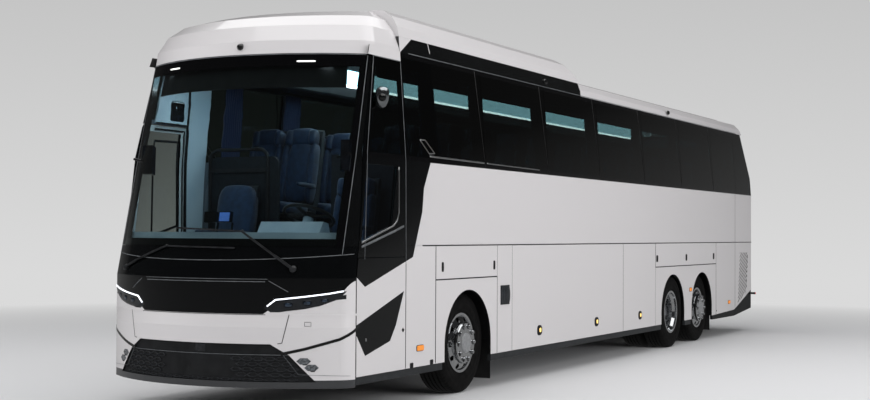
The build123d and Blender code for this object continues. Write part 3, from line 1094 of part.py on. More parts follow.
# --------------------------------------------------------------------- driver's place
DASH_Z = (1260.0, 1590.0)
DASH_BACK_Y = NOSE_Y + 640
BINNACLE_X = (330.0, 970.0)
with BuildPart() as dashboard:
    # full-width shelf behind the windscreen, with the driver's binnacle and column
    nose(*DASH_Z, WALL + FRAME_SKIN + SEAT, FRONT_BACK_Y)
    box((-HALF, HALF), (DASH_BACK_Y, FRONT_BACK_Y + 1), (DASH_Z[0] - 1, DASH_Z[1] + 1), Mode.SUBTRACT)
    along_x([(DASH_BACK_Y - 190, DASH_Z[1] - 10), (DASH_BACK_Y - 120, DASH_Z[1] + 95),
             (DASH_BACK_Y - 30, DASH_Z[1] + 80), (DASH_BACK_Y + 30, DASH_Z[1] - 120),
             (DASH_BACK_Y - 200, DASH_Z[1] - 120)], BINNACLE_X)
    box((BINNACLE_X[0], BINNACLE_X[1]), (DASH_BACK_Y - 200, DASH_BACK_Y - 20),
        (CAB_FLOOR_Z + SEAT, DASH_Z[1] - 100))
    with BuildSketch(steer_plane.offset(-18 - SEAT)) as column:
        Circle(45)
    extrude(column.sketch, amount=-270)
save(dashboard, "dashboard")

SEAT_WIDTH = 440.0
CREW = ((650.0, NOSE_Y + 1035, CAB_FLOOR_Z, 470.0), (-200.0, NOSE_Y + 1035, CAB_FLOOR_Z, 390.0))
ROW_PITCH = 815.0
ROW_START_Y = CAB_Y + 240
ROWS = int((TAIL_Y - 430 - ROW_START_Y) / ROW_PITCH)   # double seats on each side
SEAT_PAIR_X = (235.0, HALF - WALL - 45)
# seat seen from the side: (y from its front edge, z from the floor)
SEAT_SIDE = ((120, 0), (420, 0), (420, 290), (520, 300), (600, 420), (735, 1080), (715, 1150),
             (640, 1160), (595, 1090), (470, 500), (420, 465), (60, 480), (0, 440), (10, 340),
             (120, 310))
with BuildPart() as seats:
    # driver's seat, courier seat and rows of double seats
    for row in range(ROWS):
        front = ROW_START_Y + ROW_PITCH * row
        for side_name, side in SIDES:
            along_x([(front + y, DECK_Z + SEAT + z) for y, z in SEAT_SIDE],
                    (side * SEAT_PAIR_X[0], side * SEAT_PAIR_X[1]))
    for x, y0, floor, lift in CREW:
        scale = lift / 440.0
        along_x([(y0 + y, floor + SEAT + z * (scale if z < 450 else 1)) for y, z in SEAT_SIDE],
                (x - SEAT_WIDTH / 2 - 20, x + SEAT_WIDTH / 2 + 20))
save(seats, "seats")


# ------------------------------------------------------------ saloon racks, partition
RACK_Z = 2880.0
RACK_X = 640.0               # inner edge of each rack
with BuildPart() as luggage_racks:
    for side_name, side in SIDES:
        along_y([(side * RACK_X, RACK_Z + 110), (side * RACK_X, RACK_Z + 20),
                 (side * (RACK_X + 60), RACK_Z),
                 (side * (half_at(RACK_Z + 40) - WALL - SEAT), RACK_Z + 40),
                 (side * (half_at(RACK_Z + 90) - WALL - SEAT), RACK_Z + 90),
                 (side * (RACK_X + 60), RACK_Z + 50), (side * (RACK_X + 20), RACK_Z + 110)],
                (CAB_Y + 200, TAIL_Y - 700))
save(luggage_racks, "luggage_racks")

with BuildPart() as partition:
    # low screen behind the entrance steps, with a rounded frame
    box((-HALF + WALL + 60, AISLE_X + 150), (CAB_Y + 40, CAB_Y + 70), (DECK_Z + SEAT, DECK_Z + 950))
    fillet(partition.edges().filter_by(Axis.Y).sort_by(Axis.Z)[-2:], 90)
    box((HALF - WALL - 60, 260), (CAB_Y + 40, CAB_Y + 70), (DECK_Z + SEAT, DECK_Z + 950))
save(partition, "partition")


# --------------------------------------------------------------------- outside fittings
CAMERA_Y = NOSE_Y + 1130
CAMERA_Z = 2790.0
with BuildPart() as cameras:
    # camera wings on both sides instead of mirrors
    for side_name, side in SIDES:
        root_x = half_at(CAMERA_Z) + SEAT
        with BuildSketch(Plane.YZ.offset(side * (root_x - 6))) as root:
            with Locations((CAMERA_Y, CAMERA_Z)):
                Ellipse(95, 70)
        with BuildSketch(Plane.YZ.offset(side * (root_x + 150))) as tip:
            with Locations((CAMERA_Y - 20, CAMERA_Z + 10)):
                Ellipse(70, 48)
        loft([root.sketch.face(), tip.sketch.face()])
        along_y([(side * (half_at(z) - 40), z) for z in (CAMERA_Z - 120, CAMERA_Z + 120)]
                + [(side * (half_at(z) + SEAT), z) for z in (CAMERA_Z + 120, CAMERA_Z - 120)],
                (CAMERA_Y - 150, CAMERA_Y + 150), Mode.SUBTRACT)
save(cameras, "cameras")

# (rear face, lower edge) of the mud flaps, which hang on the housings' rear walls
FLAPS = ((FRONT_AXLE_Y + 640 - SHEET - SEAT, 90.0), (TAG_AXLE_Y + 590 - SHEET - SEAT, 130.0))
with BuildPart() as mud_flaps:
    # rubber flaps behind the front and rear wheels
    for y, bottom in FLAPS:
        for side_name, side in SIDES:
            box((side * (HALF - WALL - 10), side * (HALF - WALL - 330)), (y - 8, y),
                (bottom, HUB_Z))
save(mud_flaps, "mud_flaps")

# wiper: (pivot x, pivot z, elbow x, elbow z, tip x, tip z)
WIPERS = ((858.0, 1280.0, 392.0, 1600.0, -291.0, 1625.0),
          (-984.0, 1268.0, -376.0, 1466.0, 346.0, 1455.0))
WIPER_OFF = (10.0, 26.0)     # back and front faces of the wipers, off the glass


def bar(x0, z0, x1, z1, width):
    """Corners of a flat bar between two (x, z) points."""
    run = Vector(x1 - x0, z1 - z0).normalized() * (width / 2)
    return [(x0 - run.Y, z0 + run.X), (x1 - run.Y, z1 + run.X), (x1 + run.Y, z1 - run.X),
            (x0 + run.Y, z0 - run.X)]


with BuildPart() as wiper_bosses:
    for pivot_x, pivot_z, *rest in WIPERS:
        skin_y = nose_at(pivot_z) + NOSE_RADIUS - sqrt(NOSE_RADIUS**2 - pivot_x**2)
        with BuildSketch(Plane.XZ.offset(-skin_y - 60)) as boss:
            with Locations((pivot_x, pivot_z)):
                Circle(18)
        extrude(boss.sketch, amount=95)
    nose(MASK_Z, SCREEN_TOP_Z, -SEAT, FRONT_BACK_Y, Mode.SUBTRACT)
with BuildPart() as wipers:
    # two arms from pivots in the mask, with blades that follow the glass
    nose_skin(MASK_Z, SCREEN_TOP_Z, -WIPER_OFF[1], -WIPER_OFF[0], FRONT_BACK_Y)
    with BuildSketch(Plane.XZ.offset(-FRONT_CUT_Y)) as outline:
        for pivot_x, pivot_z, elbow_x, elbow_z, tip_x, tip_z in WIPERS:
            for corners in (bar(pivot_x, pivot_z, elbow_x, elbow_z, 26),
                            bar(elbow_x, elbow_z, tip_x, tip_z, 22)):
                with BuildLine():
                    Polyline(*corners, close=True)
                make_face()
            with Locations((elbow_x, elbow_z), (pivot_x, pivot_z)):
                Circle(14)
    extrude(outline.sketch, amount=600, mode=Mode.INTERSECT)
    add(wiper_bosses.part)
save(wipers, "wipers")
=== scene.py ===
"""Dressing for the touring coach: the finishes of its panels and the small pieces fixed to them."""
import math

import bmesh
import bpy
import numpy as np
from mathutils import Matrix, Vector


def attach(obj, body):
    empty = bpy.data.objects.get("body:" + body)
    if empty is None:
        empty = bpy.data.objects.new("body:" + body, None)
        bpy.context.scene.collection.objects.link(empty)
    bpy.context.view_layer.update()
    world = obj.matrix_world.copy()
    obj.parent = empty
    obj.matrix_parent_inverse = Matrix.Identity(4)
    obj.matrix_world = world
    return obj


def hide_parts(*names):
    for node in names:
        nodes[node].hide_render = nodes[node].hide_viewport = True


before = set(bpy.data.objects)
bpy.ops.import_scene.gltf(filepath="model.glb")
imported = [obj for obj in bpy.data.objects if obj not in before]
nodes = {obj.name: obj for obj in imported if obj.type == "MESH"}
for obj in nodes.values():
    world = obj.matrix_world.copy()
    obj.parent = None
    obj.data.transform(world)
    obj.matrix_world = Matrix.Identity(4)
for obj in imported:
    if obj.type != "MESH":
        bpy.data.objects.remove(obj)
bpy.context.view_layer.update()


# ---------------------------------------------------------------------------
# Underframe, axles and engine: welded steel and cast iron under a satin black
# chassis paint, with road dust dried on in soft patches.
def linear(hex_colour):
    """Linear colour of an sRGB hex value: ((c + 0.055) / 1.055) ** 2.4, or c / 12.92 when dark."""
    parts = [int(hex_colour[n:n + 2], 16) / 255 for n in (1, 3, 5)]
    return (*[c / 12.92 if c <= 0.04045 else ((c + 0.055) / 1.055) ** 2.4 for c in parts], 1.0)


def put(tree, kind, sockets=(), **settings):
    """Add a node; each (socket, value or output) pair sets or feeds one of its inputs."""
    node = tree.nodes.new(kind)
    for name, value in settings.items():
        setattr(node, name, value)
    for name, value in sockets:
        if isinstance(value, bpy.types.NodeSocket):
            tree.links.new(value, node.inputs[name])
        else:
            node.inputs[name].default_value = value
    return node


def finish_of(name, *sockets):
    """A new finish: its material, its tree, its shader and the piece's own coordinates."""
    made = bpy.data.materials.new(name)
    made.use_nodes = True
    tree = made.node_tree
    tree.nodes.clear()
    shader = put(tree, "ShaderNodeBsdfPrincipled", sockets)
    put(tree, "ShaderNodeOutputMaterial", [("Surface", shader.outputs[0])])
    return made, tree, shader, put(tree, "ShaderNodeTexCoord").outputs["Object"]


def blotch(tree, shader, place, first, second, size_mm, contrast=(0.35, 0.65)):
    """Colour wandering between two tones over size_mm, as dust, wear or pigment does."""
    cloud = put(tree, "ShaderNodeTexNoise", [("Vector", place), ("Scale", 1000 / size_mm),
                                             ("Detail", 3.0)])
    spread = put(tree, "ShaderNodeMapRange", [(0, cloud.outputs[0]), (1, contrast[0]), (2, contrast[1])])
    tone = put(tree, "ShaderNodeMix", [(0, spread.outputs[0]), (6, linear(first)), (7, linear(second))],
               data_type="RGBA")
    tree.links.new(tone.outputs[2], shader.inputs["Base Color"])
    return tone.outputs[2]


def relief(tree, shader, place, size_mm, depth_mm, kind="ShaderNodeTexNoise"):
    """Fine relief, size_mm across and depth_mm high, on the shader's normal."""
    grain = put(tree, kind, [("Vector", place), ("Scale", 1000 / size_mm)])
    bump = put(tree, "ShaderNodeBump", [("Height", grain.outputs[0]), ("Distance", depth_mm / 1000)])
    tree.links.new(bump.outputs[0], shader.inputs["Normal"])


def patterned(name, sockets, first, second, patch_mm, grain=None, contrast=(0.35, 0.65)):
    """A finish of two tones in patches of patch_mm; grain is its relief's size, depth and kind."""
    made, tree, shader, place = finish_of(name, *sockets.items())
    blotch(tree, shader, place, first, second, patch_mm, contrast)
    if grain is not None:
        relief(tree, shader, place, *grain)
    return made


CELLS = "ShaderNodeTexVoronoi"


def dress(made, *names):
    """Give CAD nodes this finish; a name that ends in _ stands for every node it begins."""
    for name, piece in nodes.items():
        if name in names or name.startswith(tuple(n for n in names if n.endswith("_"))):
            piece.data.materials.clear()
            piece.data.materials.append(made)


# satin paint brushed over rough steel: a soft, broken grey sheen, duller under dust
chassis_paint = patterned("satin_chassis_paint", {"Roughness": 0.5}, "#202123", "#34332F", 180, (6, 0.3))
dress(chassis_paint, "chassis_frame", "axle_beams", "knuckle_left", "knuckle_right", "engine")
# rolled aluminium sheet: a dull metallic grey, scuffed where cases rub
bay_sheet = patterned("ribbed_aluminium_sheet", {"Metallic": 1.0, "Roughness": 0.42},
                      "#9C9EA1", "#B4B5B7", 90)
dress(bay_sheet, "luggage_bay")


# ---------------------------------------------------------------------------
# Tyres: moulded rubber, nearly black, with ribbed treads, cross cuts on the
# shoulders and raised rings on the side walls.
def skin(name, grids, made, body="root", turned_right=True):
    """One piece from grids of points, each (grid, round, closed).

    Points of a grid join to the next row and the next column; a round grid joins its last
    column to its first, and a closed one has its two end rows filled.
    """
    points, faces, start = [], [], 0
    for grid, is_round, is_closed in grids:
        rows, columns = grid.shape[:2]
        ids = start + np.arange(rows * columns).reshape(rows, columns)
        beside = np.roll(ids, -1, axis=1) if is_round else ids[:, 1:]
        here = ids if is_round else ids[:, :-1]
        quads = np.stack((here[:-1], beside[:-1], beside[1:], here[1:]), axis=-1)
        faces += quads.reshape(-1, 4).tolist()
        if is_closed:
            faces += [ids[0, ::-1].tolist(), ids[-1].tolist()]
        points.append(grid.reshape(-1, 3))
        start += rows * columns
    mesh = bpy.data.meshes.new(name)
    mesh.from_pydata(np.concatenate(points).tolist(), [], faces)
    if turned_right:
        shell = bmesh.new()
        shell.from_mesh(mesh)
        bmesh.ops.remove_doubles(shell, verts=shell.verts, dist=1e-6)
        bmesh.ops.recalc_face_normals(shell, faces=shell.faces)
        shell.to_mesh(mesh)
        shell.free()
    mesh.materials.append(made)
    mesh.shade_smooth()
    piece = bpy.data.objects.new(name, mesh)
    bpy.context.scene.collection.objects.link(piece)
    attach(piece, body)
    return piece


def split_at(piece, degrees=35):
    """Crisp edges where faces meet more sharply than this."""
    piece.data.set_sharp_from_angle(angle=math.radians(degrees))
    return piece


# where each axle is along the coach, and how far out its outer tyres reach
AXLES = {"front": -4.13, "drive": 2.55, "tag": 3.965}
OUTER = {"front": 1.205, "drive": 1.255, "tag": 1.21}
HUB_Z, TWIN_PITCH, TYRE_WIDTH, GROOVE_FLOOR = 0.5, 0.335, 0.295, 0.487
CUTS_TO_A_TURN, TYRE_STEPS = 72, 288


def round_axle(section, axle_y, side, steps, ripple=None):
    """Grid of a section (x, radius) turned about an axle; ripple(angle, section) adds to the radius."""
    angle = np.linspace(0, 2 * math.pi, steps, endpoint=False)[None, :]
    x, radius = section[:, :1], section[:, 1:2] + np.zeros_like(angle)
    if ripple is not None:
        radius = radius + ripple(angle, section)
    return np.stack((side * x + 0 * angle, axle_y + radius * np.cos(angle),
                     HUB_Z + radius * np.sin(angle)), axis=-1)


def tyre_section(outer):
    """Tyre section (x, radius): side wall with two raised rings, then a tread of five ribs.

    It is drawn from the outer face inwards, and its inner half mirrors the side wall.
    """
    wall = [(-0.0273, 0.2853), (-0.0270, 0.300), (-0.008, 0.320), (-0.003, 0.352), (-0.001, 0.356),
            (0.0, 0.392), (-0.0015, 0.398), (-0.0015, 0.404), (0.0, 0.41), (-0.002, 0.444),
            (-0.006, 0.452), (-0.010, 0.476), (-0.018, 0.488), (-0.029, 0.4965)]
    tread = [(-0.045, 0.4992)]
    for groove in (-0.0775, -0.1255, -0.1695, -0.2175):
        tread += [(groove + 0.006, 0.5), (groove + 0.0045, GROOVE_FLOOR),
                  (groove - 0.0045, GROOVE_FLOOR), (groove - 0.006, 0.5)]
    tread.append((-0.25, 0.4992))
    whole = wall + tread + [(-TYRE_WIDTH - x, r) for x, r in reversed(wall)]
    return np.array([(outer + x, r) for x, r in whole])


def shoulder_cuts(angle, section):
    """Cross cuts 6 mm deep on the shoulders, where |sin| of half their number of turns is nearly zero."""
    across = np.abs(section[:, :1] - section[:, :1].mean()) / (TYRE_WIDTH / 2)
    on_shoulder = np.clip((across - 0.66) / 0.08, 0, 1) * np.clip((0.97 - across) / 0.05, 0, 1)
    on_shoulder = on_shoulder * (section[:, 1:2] > 0.47)
    return -0.006 * on_shoulder * (np.abs(np.sin(CUTS_TO_A_TURN / 2 * angle)) < 0.3)


# moulded rubber: a dusty black with hardly any shine
rubber = patterned("moulded_tyre_rubber", {"Roughness": 0.8, "Specular IOR Level": 0.25},
                   "#0A0A0A", "#141313", 60, (3, 0.25))
for wheel, axle_y in AXLES.items():
    for side_name, side in (("left", 1), ("right", -1)):
        outers = (OUTER[wheel], OUTER[wheel] - TWIN_PITCH) if wheel == "drive" else (OUTER[wheel],)
        grids = []
        for outer in outers:
            section = tyre_section(outer)
            grid = round_axle(section, axle_y, side, TYRE_STEPS, shoulder_cuts)
            grids.append((np.concatenate((grid, grid[:1]), axis=0), True, False))
        tyre = skin(f"tread_{wheel}_{side_name}", grids, rubber, f"wheel_{wheel}_{side_name}")
        split_at(tyre, 30)
        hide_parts(f"tyre_{wheel}_{side_name}")
# cut rubber sheet: flat black with a faint sheen
black_rubber = patterned("sheet_rubber", {"Roughness": 0.6}, "#0E0E0F", "#1A1A1A", 120, (5, 0.2))
dress(black_rubber, "mud_flaps")


# ---------------------------------------------------------------------------
# Wheels: forged aluminium, turned and polished, with a ring of ten hand holes
# before a cast-iron drum, ten nuts on a stud circle and a matt cast hub cap.
# Near-black painted shade fills the drum behind the holes, the wall inside them and rings under the nuts.
def turned(section, centre, axis, steps=24):
    """Grid of a section (rise, radius) turned about an axis through a centre."""
    axis = np.array(axis, float) / np.linalg.norm(axis)
    first = np.cross(axis, (0.0, 0.0, 1.0) if abs(axis[2]) < 0.9 else (1.0, 0.0, 0.0))
    first /= np.linalg.norm(first)
    second = np.cross(axis, first)
    angle = np.linspace(0, 2 * math.pi, steps, endpoint=False)[None, :, None]
    section = np.array(section)
    rise, radius = section[:, None, :1], section[:, None, 1:]
    return np.array(centre) + rise * axis + radius * (np.cos(angle) * first + np.sin(angle) * second)


# how far out the nuts' faces and the rings of hand holes stand
FACES = {"front": 1.248, "drive": 0.954, "tag": 1.253}
EDGES = {"front": 1.19, "tag": 1.195}
STUD_CIRCLE, NUTS, HAND_HOLES = 0.1675, 10, 10


def holed_ring(axle_y, side, edge, ring, hole):
    """Plates in a ring, each a grid from a round hole out to a rectangle of (arc, radius).

    ring holds its inner, middle and outer radius, and hole is the radius of a hole.
    """
    inner, middle, outer = ring
    arc, tall = math.pi / HAND_HOLES, (outer - inner) / 2
    along, up = np.linspace(-1, 1, 13), np.linspace(-1, 1, 7)[1:-1]
    border = np.concatenate((np.stack((along, -1 + 0 * along), 1), np.stack((1 + 0 * up, up), 1),
                             np.stack((-along, 1 + 0 * along), 1), np.stack((-1 + 0 * up, -up), 1)))
    border *= (arc * middle, tall)
    toward = np.arctan2(border[:, 1], border[:, 0])
    lip = hole * np.stack((np.cos(toward), np.sin(toward)), 1)
    share = np.array((0.0, 0.0, 0.06, 0.2, 0.5, 1.0))[:, None, None]
    deep = np.array((-0.014, -0.001, 0.0, 0.0, 0.0, 0.0))[:, None]
    flat = lip * (1 - share) + border * share
    radius = middle + flat[..., 1]
    # the plate bows out from the barrel to the wall of the dish
    bow = np.interp(radius, (inner, middle, outer - 0.008, outer), (0.014, 0.004, -0.012, -0.02))
    grids = []
    for turn in np.linspace(0, 2 * math.pi, HAND_HOLES, endpoint=False):
        angle = turn + flat[..., 0] / middle
        grids.append((np.stack((side * (edge + bow + deep), axle_y + radius * np.cos(angle),
                                HUB_Z + radius * np.sin(angle)), axis=-1), True, False))
    return grids


# turned and polished: a slightly wavy mirror that flashes at its edges
polished = patterned("polished_forged_aluminium", {"Metallic": 1.0, "Roughness": 0.11},
                     "#D3D5D8", "#E6E7E8", 45, (25, 0.1))
dress(polished, "rim_")
# chromed steel: small hard highlights
nut_steel = patterned("chromed_nut_steel", {"Metallic": 1.0, "Roughness": 0.16}, "#C4C6C9", "#E0E1E3", 12)
# rough cast iron, painted near black as painted shade behind the hand holes, and painted shade under the nuts
# and inside the holes
iron_and_painted_shade = patterned("black_iron_and_painted_shade", {"Roughness": 0.8}, "#060607", "#0D0D0D", 30)
# blasted casting: pale grey that mirrors nothing clearly
cap_casting = patterned("matt_cast_aluminium", {"Metallic": 0.6, "Roughness": 0.5},
                        "#A9ABAE", "#BDBEC0", 20, (4, 0.15))
for wheel, axle_y in AXLES.items():
    for side_name, side in (("left", 1), ("right", -1)):
        face, body, out = FACES[wheel], f"wheel_{wheel}_{side_name}", (side, 0, 0)
        nuts, nut_shade_rings = [], []
        for turn in np.linspace(0, 2 * math.pi, NUTS, endpoint=False):
            stud = (side * face, axle_y + STUD_CIRCLE * math.cos(turn),
                    HUB_Z + STUD_CIRCLE * math.sin(turn))
            nuts.append((turned([(-0.001, 0.0205), (0.018, 0.0195), (0.0215, 0.016), (0.0218, 0.0001)],
                                stud, out, 20), True, False))
            # a black ring under each nut: painted shade round its edge
            nut_shade_rings.append((turned([(-0.001, 0.0275), (0.0012, 0.0265), (0.0012, 0.02)],
                                         stud, out, 20), True, False))
        split_at(skin(f"nuts_{wheel}_{side_name}", nuts, nut_steel, body))
        split_at(skin(f"painted_nut_shade_{wheel}_{side_name}", nut_shade_rings, iron_and_painted_shade, body))
        # the driven axle's cap covers the flange of its half shaft
        cap_face = face + (0.016 if wheel == "drive" else 0.0)
        cap = turned([(0.0, 0.1), (0.006, 0.0985), (0.0145, 0.0855), (0.0165, 0.081), (0.0155, 0.076),
                      (0.0152, 0.03), (0.0165, 0.0285), (0.0165, 0.0001)],
                     (side * cap_face, axle_y, HUB_Z), out, 64)
        split_at(skin(f"hub_cap_{wheel}_{side_name}", [(cap, True, False)], cap_casting, body), 40)
        if wheel in EDGES:
            edge = EDGES[wheel]
            ring = holed_ring(axle_y, side, edge, (0.2057, 0.241, 0.2762), 0.027)
            dish = split_at(skin(f"hand_holes_{wheel}_{side_name}", ring, polished, body), 50)
            centre = (side * edge, axle_y, HUB_Z)
            # the black ring behind the hand holes is the drum darkened as painted shade, and the black wall
            # round the barrel is a painted shadow gap
            behind = turned([(-0.036, 0.208), (-0.036, 0.262)], centre, out, 64)
            wall = turned([(0.014, 0.2068), (0.034, 0.2062)], centre, out, 64)
            skin(f"drum_{wheel}_{side_name}", [(behind, True, False), (wall, True, False)], iron_and_painted_shade, body)


# ---------------------------------------------------------------------------
# Body shell: aluminium panels sprayed with a warm white enamel under lacquer.
# Cut edges and seams are sealed black, the inner faces are lined with grey
# cloth, and the corner panels and window band are sprayed gloss black.
WHITE, LACQUER_BLACK, LINING, SEALER = "#D3D0D1", "#08090A", "#59646E", "#0C0C0D"
# the second colour is dark grey painted as shade inside the louvres' slots
LOWER_LIP, LOUVRE_PAINTED_SHADE = "#3B3C3E", "#242526"
LIP_TOP, CREASE_LOW, CREASE_HIGH, CREASE_LEAN = 0.335, 0.78, 0.9, -0.05
MIDDLE_HEIGHT = 2.2


def within(tree, place, corners):
    """1 inside a convex outline of (y, z) corners: every edge's signed distance is negative."""
    worst = None
    for (y0, z0), (y1, z1) in zip(corners, corners[1:] + corners[:1]):
        reach = math.hypot(y1 - y0, z1 - z0)
        out = (0.0, (z1 - z0) / reach, -(y1 - y0) / reach)
        along = put(tree, "ShaderNodeVectorMath", [(0, place), (1, out)], operation="DOT_PRODUCT")
        edge = put(tree, "ShaderNodeMath", [(0, along.outputs[1]), (1, -out[1] * y0 - out[2] * z0)],
                   operation="ADD").outputs[0]
        worst = edge if worst is None else put(
            tree, "ShaderNodeMath", [(0, worst), (1, edge)], operation="MAXIMUM").outputs[0]
    return put(tree, "ShaderNodeMath", [(0, worst), (1, 0.0)], operation="LESS_THAN").outputs[0]


def over(tree, factor, under, top):
    """The top colour where the factor is 1, else the one under it."""
    mixed = put(tree, "ShaderNodeMix", [(0, factor), (6, under), (7, top)], data_type="RGBA")
    return mixed.outputs[2]


def coach_enamel(name, outlines=(), middle=None, lined=False, front=False, lining=LINING, painted_louvre_shade=False):
    """White enamel with black outlines, sealed edges and inner faces; middle is the y they turn from.

    Sprayed and lacquered, it gives a warm white with soft reflections and a trace of orange peel.
    On the front the outlines are of (|x|, z), the enamel ends at the dark lower lip, and its
    upper part leans back from a crease.
    """
    made, tree, shader, place = finish_of(name, ("Roughness", 0.3), ("Coat Weight", 0.6),
                                          ("Coat Roughness", 0.05))
    relief(tree, shader, place, 14, 0.02)
    colour = linear(WHITE)
    split = put(tree, "ShaderNodeSeparateXYZ", [(0, place)])
    plan = place
    if front:
        half = put(tree, "ShaderNodeMath", [(0, split.outputs[0])], operation="ABSOLUTE")
        plan = put(tree, "ShaderNodeCombineXYZ", [(1, half.outputs[0]), (2, split.outputs[2])]).outputs[0]
        low = put(tree, "ShaderNodeMath", [(0, split.outputs[2]), (1, LIP_TOP)],
                  operation="LESS_THAN")
        colour = over(tree, low.outputs[0], colour, linear(LOWER_LIP))
        crease = put(tree, "ShaderNodeMapRange", [(0, split.outputs[2]), (1, CREASE_LOW),
                                                  (2, CREASE_HIGH), (3, 0.0), (4, CREASE_LEAN)])
        lean = put(tree, "ShaderNodeBump", [("Height", crease.outputs[0]), ("Distance", 1.0)])
        tree.links.new(lean.outputs[0], shader.inputs["Normal"])
    black = (0.0, 0.0)
    for n, corners in enumerate(outlines):
        inside = within(tree, plan, corners)
        colour = over(tree, inside, colour, linear(LACQUER_BLACK))
        black = inside if n == 0 else put(tree, "ShaderNodeMath", [(0, black), (1, inside)],
                                          operation="MAXIMUM").outputs[0]
    if outlines:
        # the black is sprayed over the lacquer and polished, so it shines less
        for socket, white, dark in (("Coat Weight", 0.6, 0.0), ("Specular IOR Level", 0.5, 0.3),
                                    ("Roughness", 0.3, 0.12)):
            level = put(tree, "ShaderNodeMapRange", [(0, black), (3, white), (4, dark)])
            tree.links.new(level.outputs[0], shader.inputs[socket])
    # how squarely a face looks away from the middle of the coach
    keep = (1.0, 0.0 if middle is None else 1.0, 1.0 if lined else 0.0)
    off = put(tree, "ShaderNodeVectorMath", [(0, place), (1, (0.0, middle or 0.0, MIDDLE_HEIGHT))],
              operation="SUBTRACT")
    off = put(tree, "ShaderNodeVectorMath", [(0, off.outputs[0]), (1, keep)], operation="MULTIPLY")
    off = put(tree, "ShaderNodeVectorMath", [(0, off.outputs[0])], operation="NORMALIZE")
    facing = put(tree, "ShaderNodeNewGeometry").outputs["True Normal"]
    square = put(tree, "ShaderNodeVectorMath", [(0, off.outputs[0]), (1, facing)],
                 operation="DOT_PRODUCT").outputs[1]
    # inside the louvres, the faces that turn aside are painted dark grey: painted shade in the slots
    if painted_louvre_shade:
        inside = within(tree, place, LOUVRES)
        aside = put(tree, "ShaderNodeSeparateXYZ", [(0, facing)]).outputs[0]
        aside = put(tree, "ShaderNodeMath", [(0, aside)], operation="ABSOLUTE").outputs[0]
        aside = put(tree, "ShaderNodeMath", [(0, aside), (1, 0.9)], operation="LESS_THAN").outputs[0]
        both = put(tree, "ShaderNodeMath", [(0, inside), (1, aside)], operation="MULTIPLY").outputs[0]
        colour = over(tree, both, colour, linear(LOUVRE_PAINTED_SHADE))
    if not lined:
        edge = put(tree, "ShaderNodeMath", [(0, square), (1, 0.3)], operation="LESS_THAN").outputs[0]
        colour = over(tree, edge, colour, linear(SEALER))
    inner = put(tree, "ShaderNodeMath", [(0, square), (1, -0.3)], operation="LESS_THAN").outputs[0]
    colour = over(tree, inner, colour, linear(lining if lined else SEALER))
    tree.links.new(colour, shader.inputs["Base Color"])
    return made


# convex outlines of (y, z) on the sides, and of (|x|, z) on the mask
BELT = 2.257
CORNER = [(-6.9, 1.532), (-6.206, 1.121), (-5.319, 1.370), (-5.136, 1.79), (-5.105, 2.02), (-6.9, 2.02)]
BEHIND = [(-6.9, 2.01), (-5.107, 2.01), (-4.965, 2.27), (-6.9, 2.27)]
BAND = [(-5.462, BELT), (9.0, BELT), (9.0, 3.5), (-5.462, 3.5)]
SCREEN_SIDE = [(-7.5, BELT), (-5.4, BELT), (-5.4, 3.178), (-7.5, 3.178)]
ARROW = [(-6.407, 0.777), (-6.198, 0.522), (-5.750, 0.623), (-5.640, 0.761), (-5.491, 1.062)]
REAR_BAND = [(5.0, BELT), (9.0, BELT), (9.0, 3.5), (5.0, 3.5)]
MASK = [(-0.1, 0.895), (0.63, 0.895), (0.7, 0.945), (0.7, 1.6), (-0.1, 1.6)]
LOUVRES = [(6.0, 0.47), (6.516, 0.662), (6.613, 1.302), (6.138, 1.306)]
MASK_SIDE = [(0.69, 0.957), (0.764, 0.912), (1.062, 0.965), (1.184, 1.024), (1.285, 1.195), (1.285, 1.6),
             (0.69, 1.6)]
FRONT_MIDDLE, DOME_MIDDLE, TAIL_MIDDLE = -5.9, -5.4, 5.9
dress(coach_enamel("enamel_upper_sides", (CORNER, BEHIND, BAND, SCREEN_SIDE), lined=True), "side_upper_")
dress(coach_enamel("enamel_lower_sides", (CORNER,)), "skirt_", "wheel_panels", "flap_luggage_")
dress(coach_enamel("enamel_service_flap", (CORNER, ARROW)), "flap_service")
# the door is lined with a pale moulding
dress(coach_enamel("enamel_entrance_door", (CORNER, BEHIND, BAND, SCREEN_SIDE, ARROW), lined=True,
                   lining="#B9C7CE"), "door_front")
dress(coach_enamel("enamel_roof", lined=True), "roof", "roof_pods")
dress(coach_enamel("enamel_front_roof", middle=DOME_MIDDLE, lined=True), "roof_cap")
dress(coach_enamel("enamel_tail", (REAR_BAND,), middle=TAIL_MIDDLE, lined=True, painted_louvre_shade=True), "rear_wall")
dress(coach_enamel("enamel_engine_lid", middle=TAIL_MIDDLE), "engine_lid")
dress(coach_enamel("enamel_bumper", middle=FRONT_MIDDLE, front=True), "bumper_front")
dress(coach_enamel("enamel_mask", (MASK, MASK_SIDE), middle=FRONT_MIDDLE, front=True), "mask_front")

# sprayed gloss lacquer: a dark mirror with a trace of orange peel
gloss_black = patterned("gloss_black_lacquer", {"Roughness": 0.1, "Coat Weight": 0.5, "Coat Roughness": 0.03},
                        "#070808", "#0B0C0D", 300, (14, 0.02))
dress(gloss_black, "front_frame", "roof_coves", "cameras")

# moulded and grained: dark grey with a soft, spread sheen
sill_plastic = patterned("grained_grey_sill_plastic", {"Roughness": 0.5},
                         "#26282A", "#303234", 80, (3, 0.25, CELLS))
dress(sill_plastic, "lower_trim")

# moulded and grained: near black, its shine spread wide
trim = patterned("grained_black_polypropylene", {"Roughness": 0.55},
                 "#151618", "#1D1E20", 80, (3, 0.25, CELLS))
dress(trim, "bumper_rear", "wheel_housings", "grilles", "wipers", "door_front_arm")


# ---------------------------------------------------------------------------
# Glazing: laminated screen, toughened side panes tinted green black, all
# bonded over a black ceramic border baked round their edges.
CAB_GLASS_TOP = 2.25


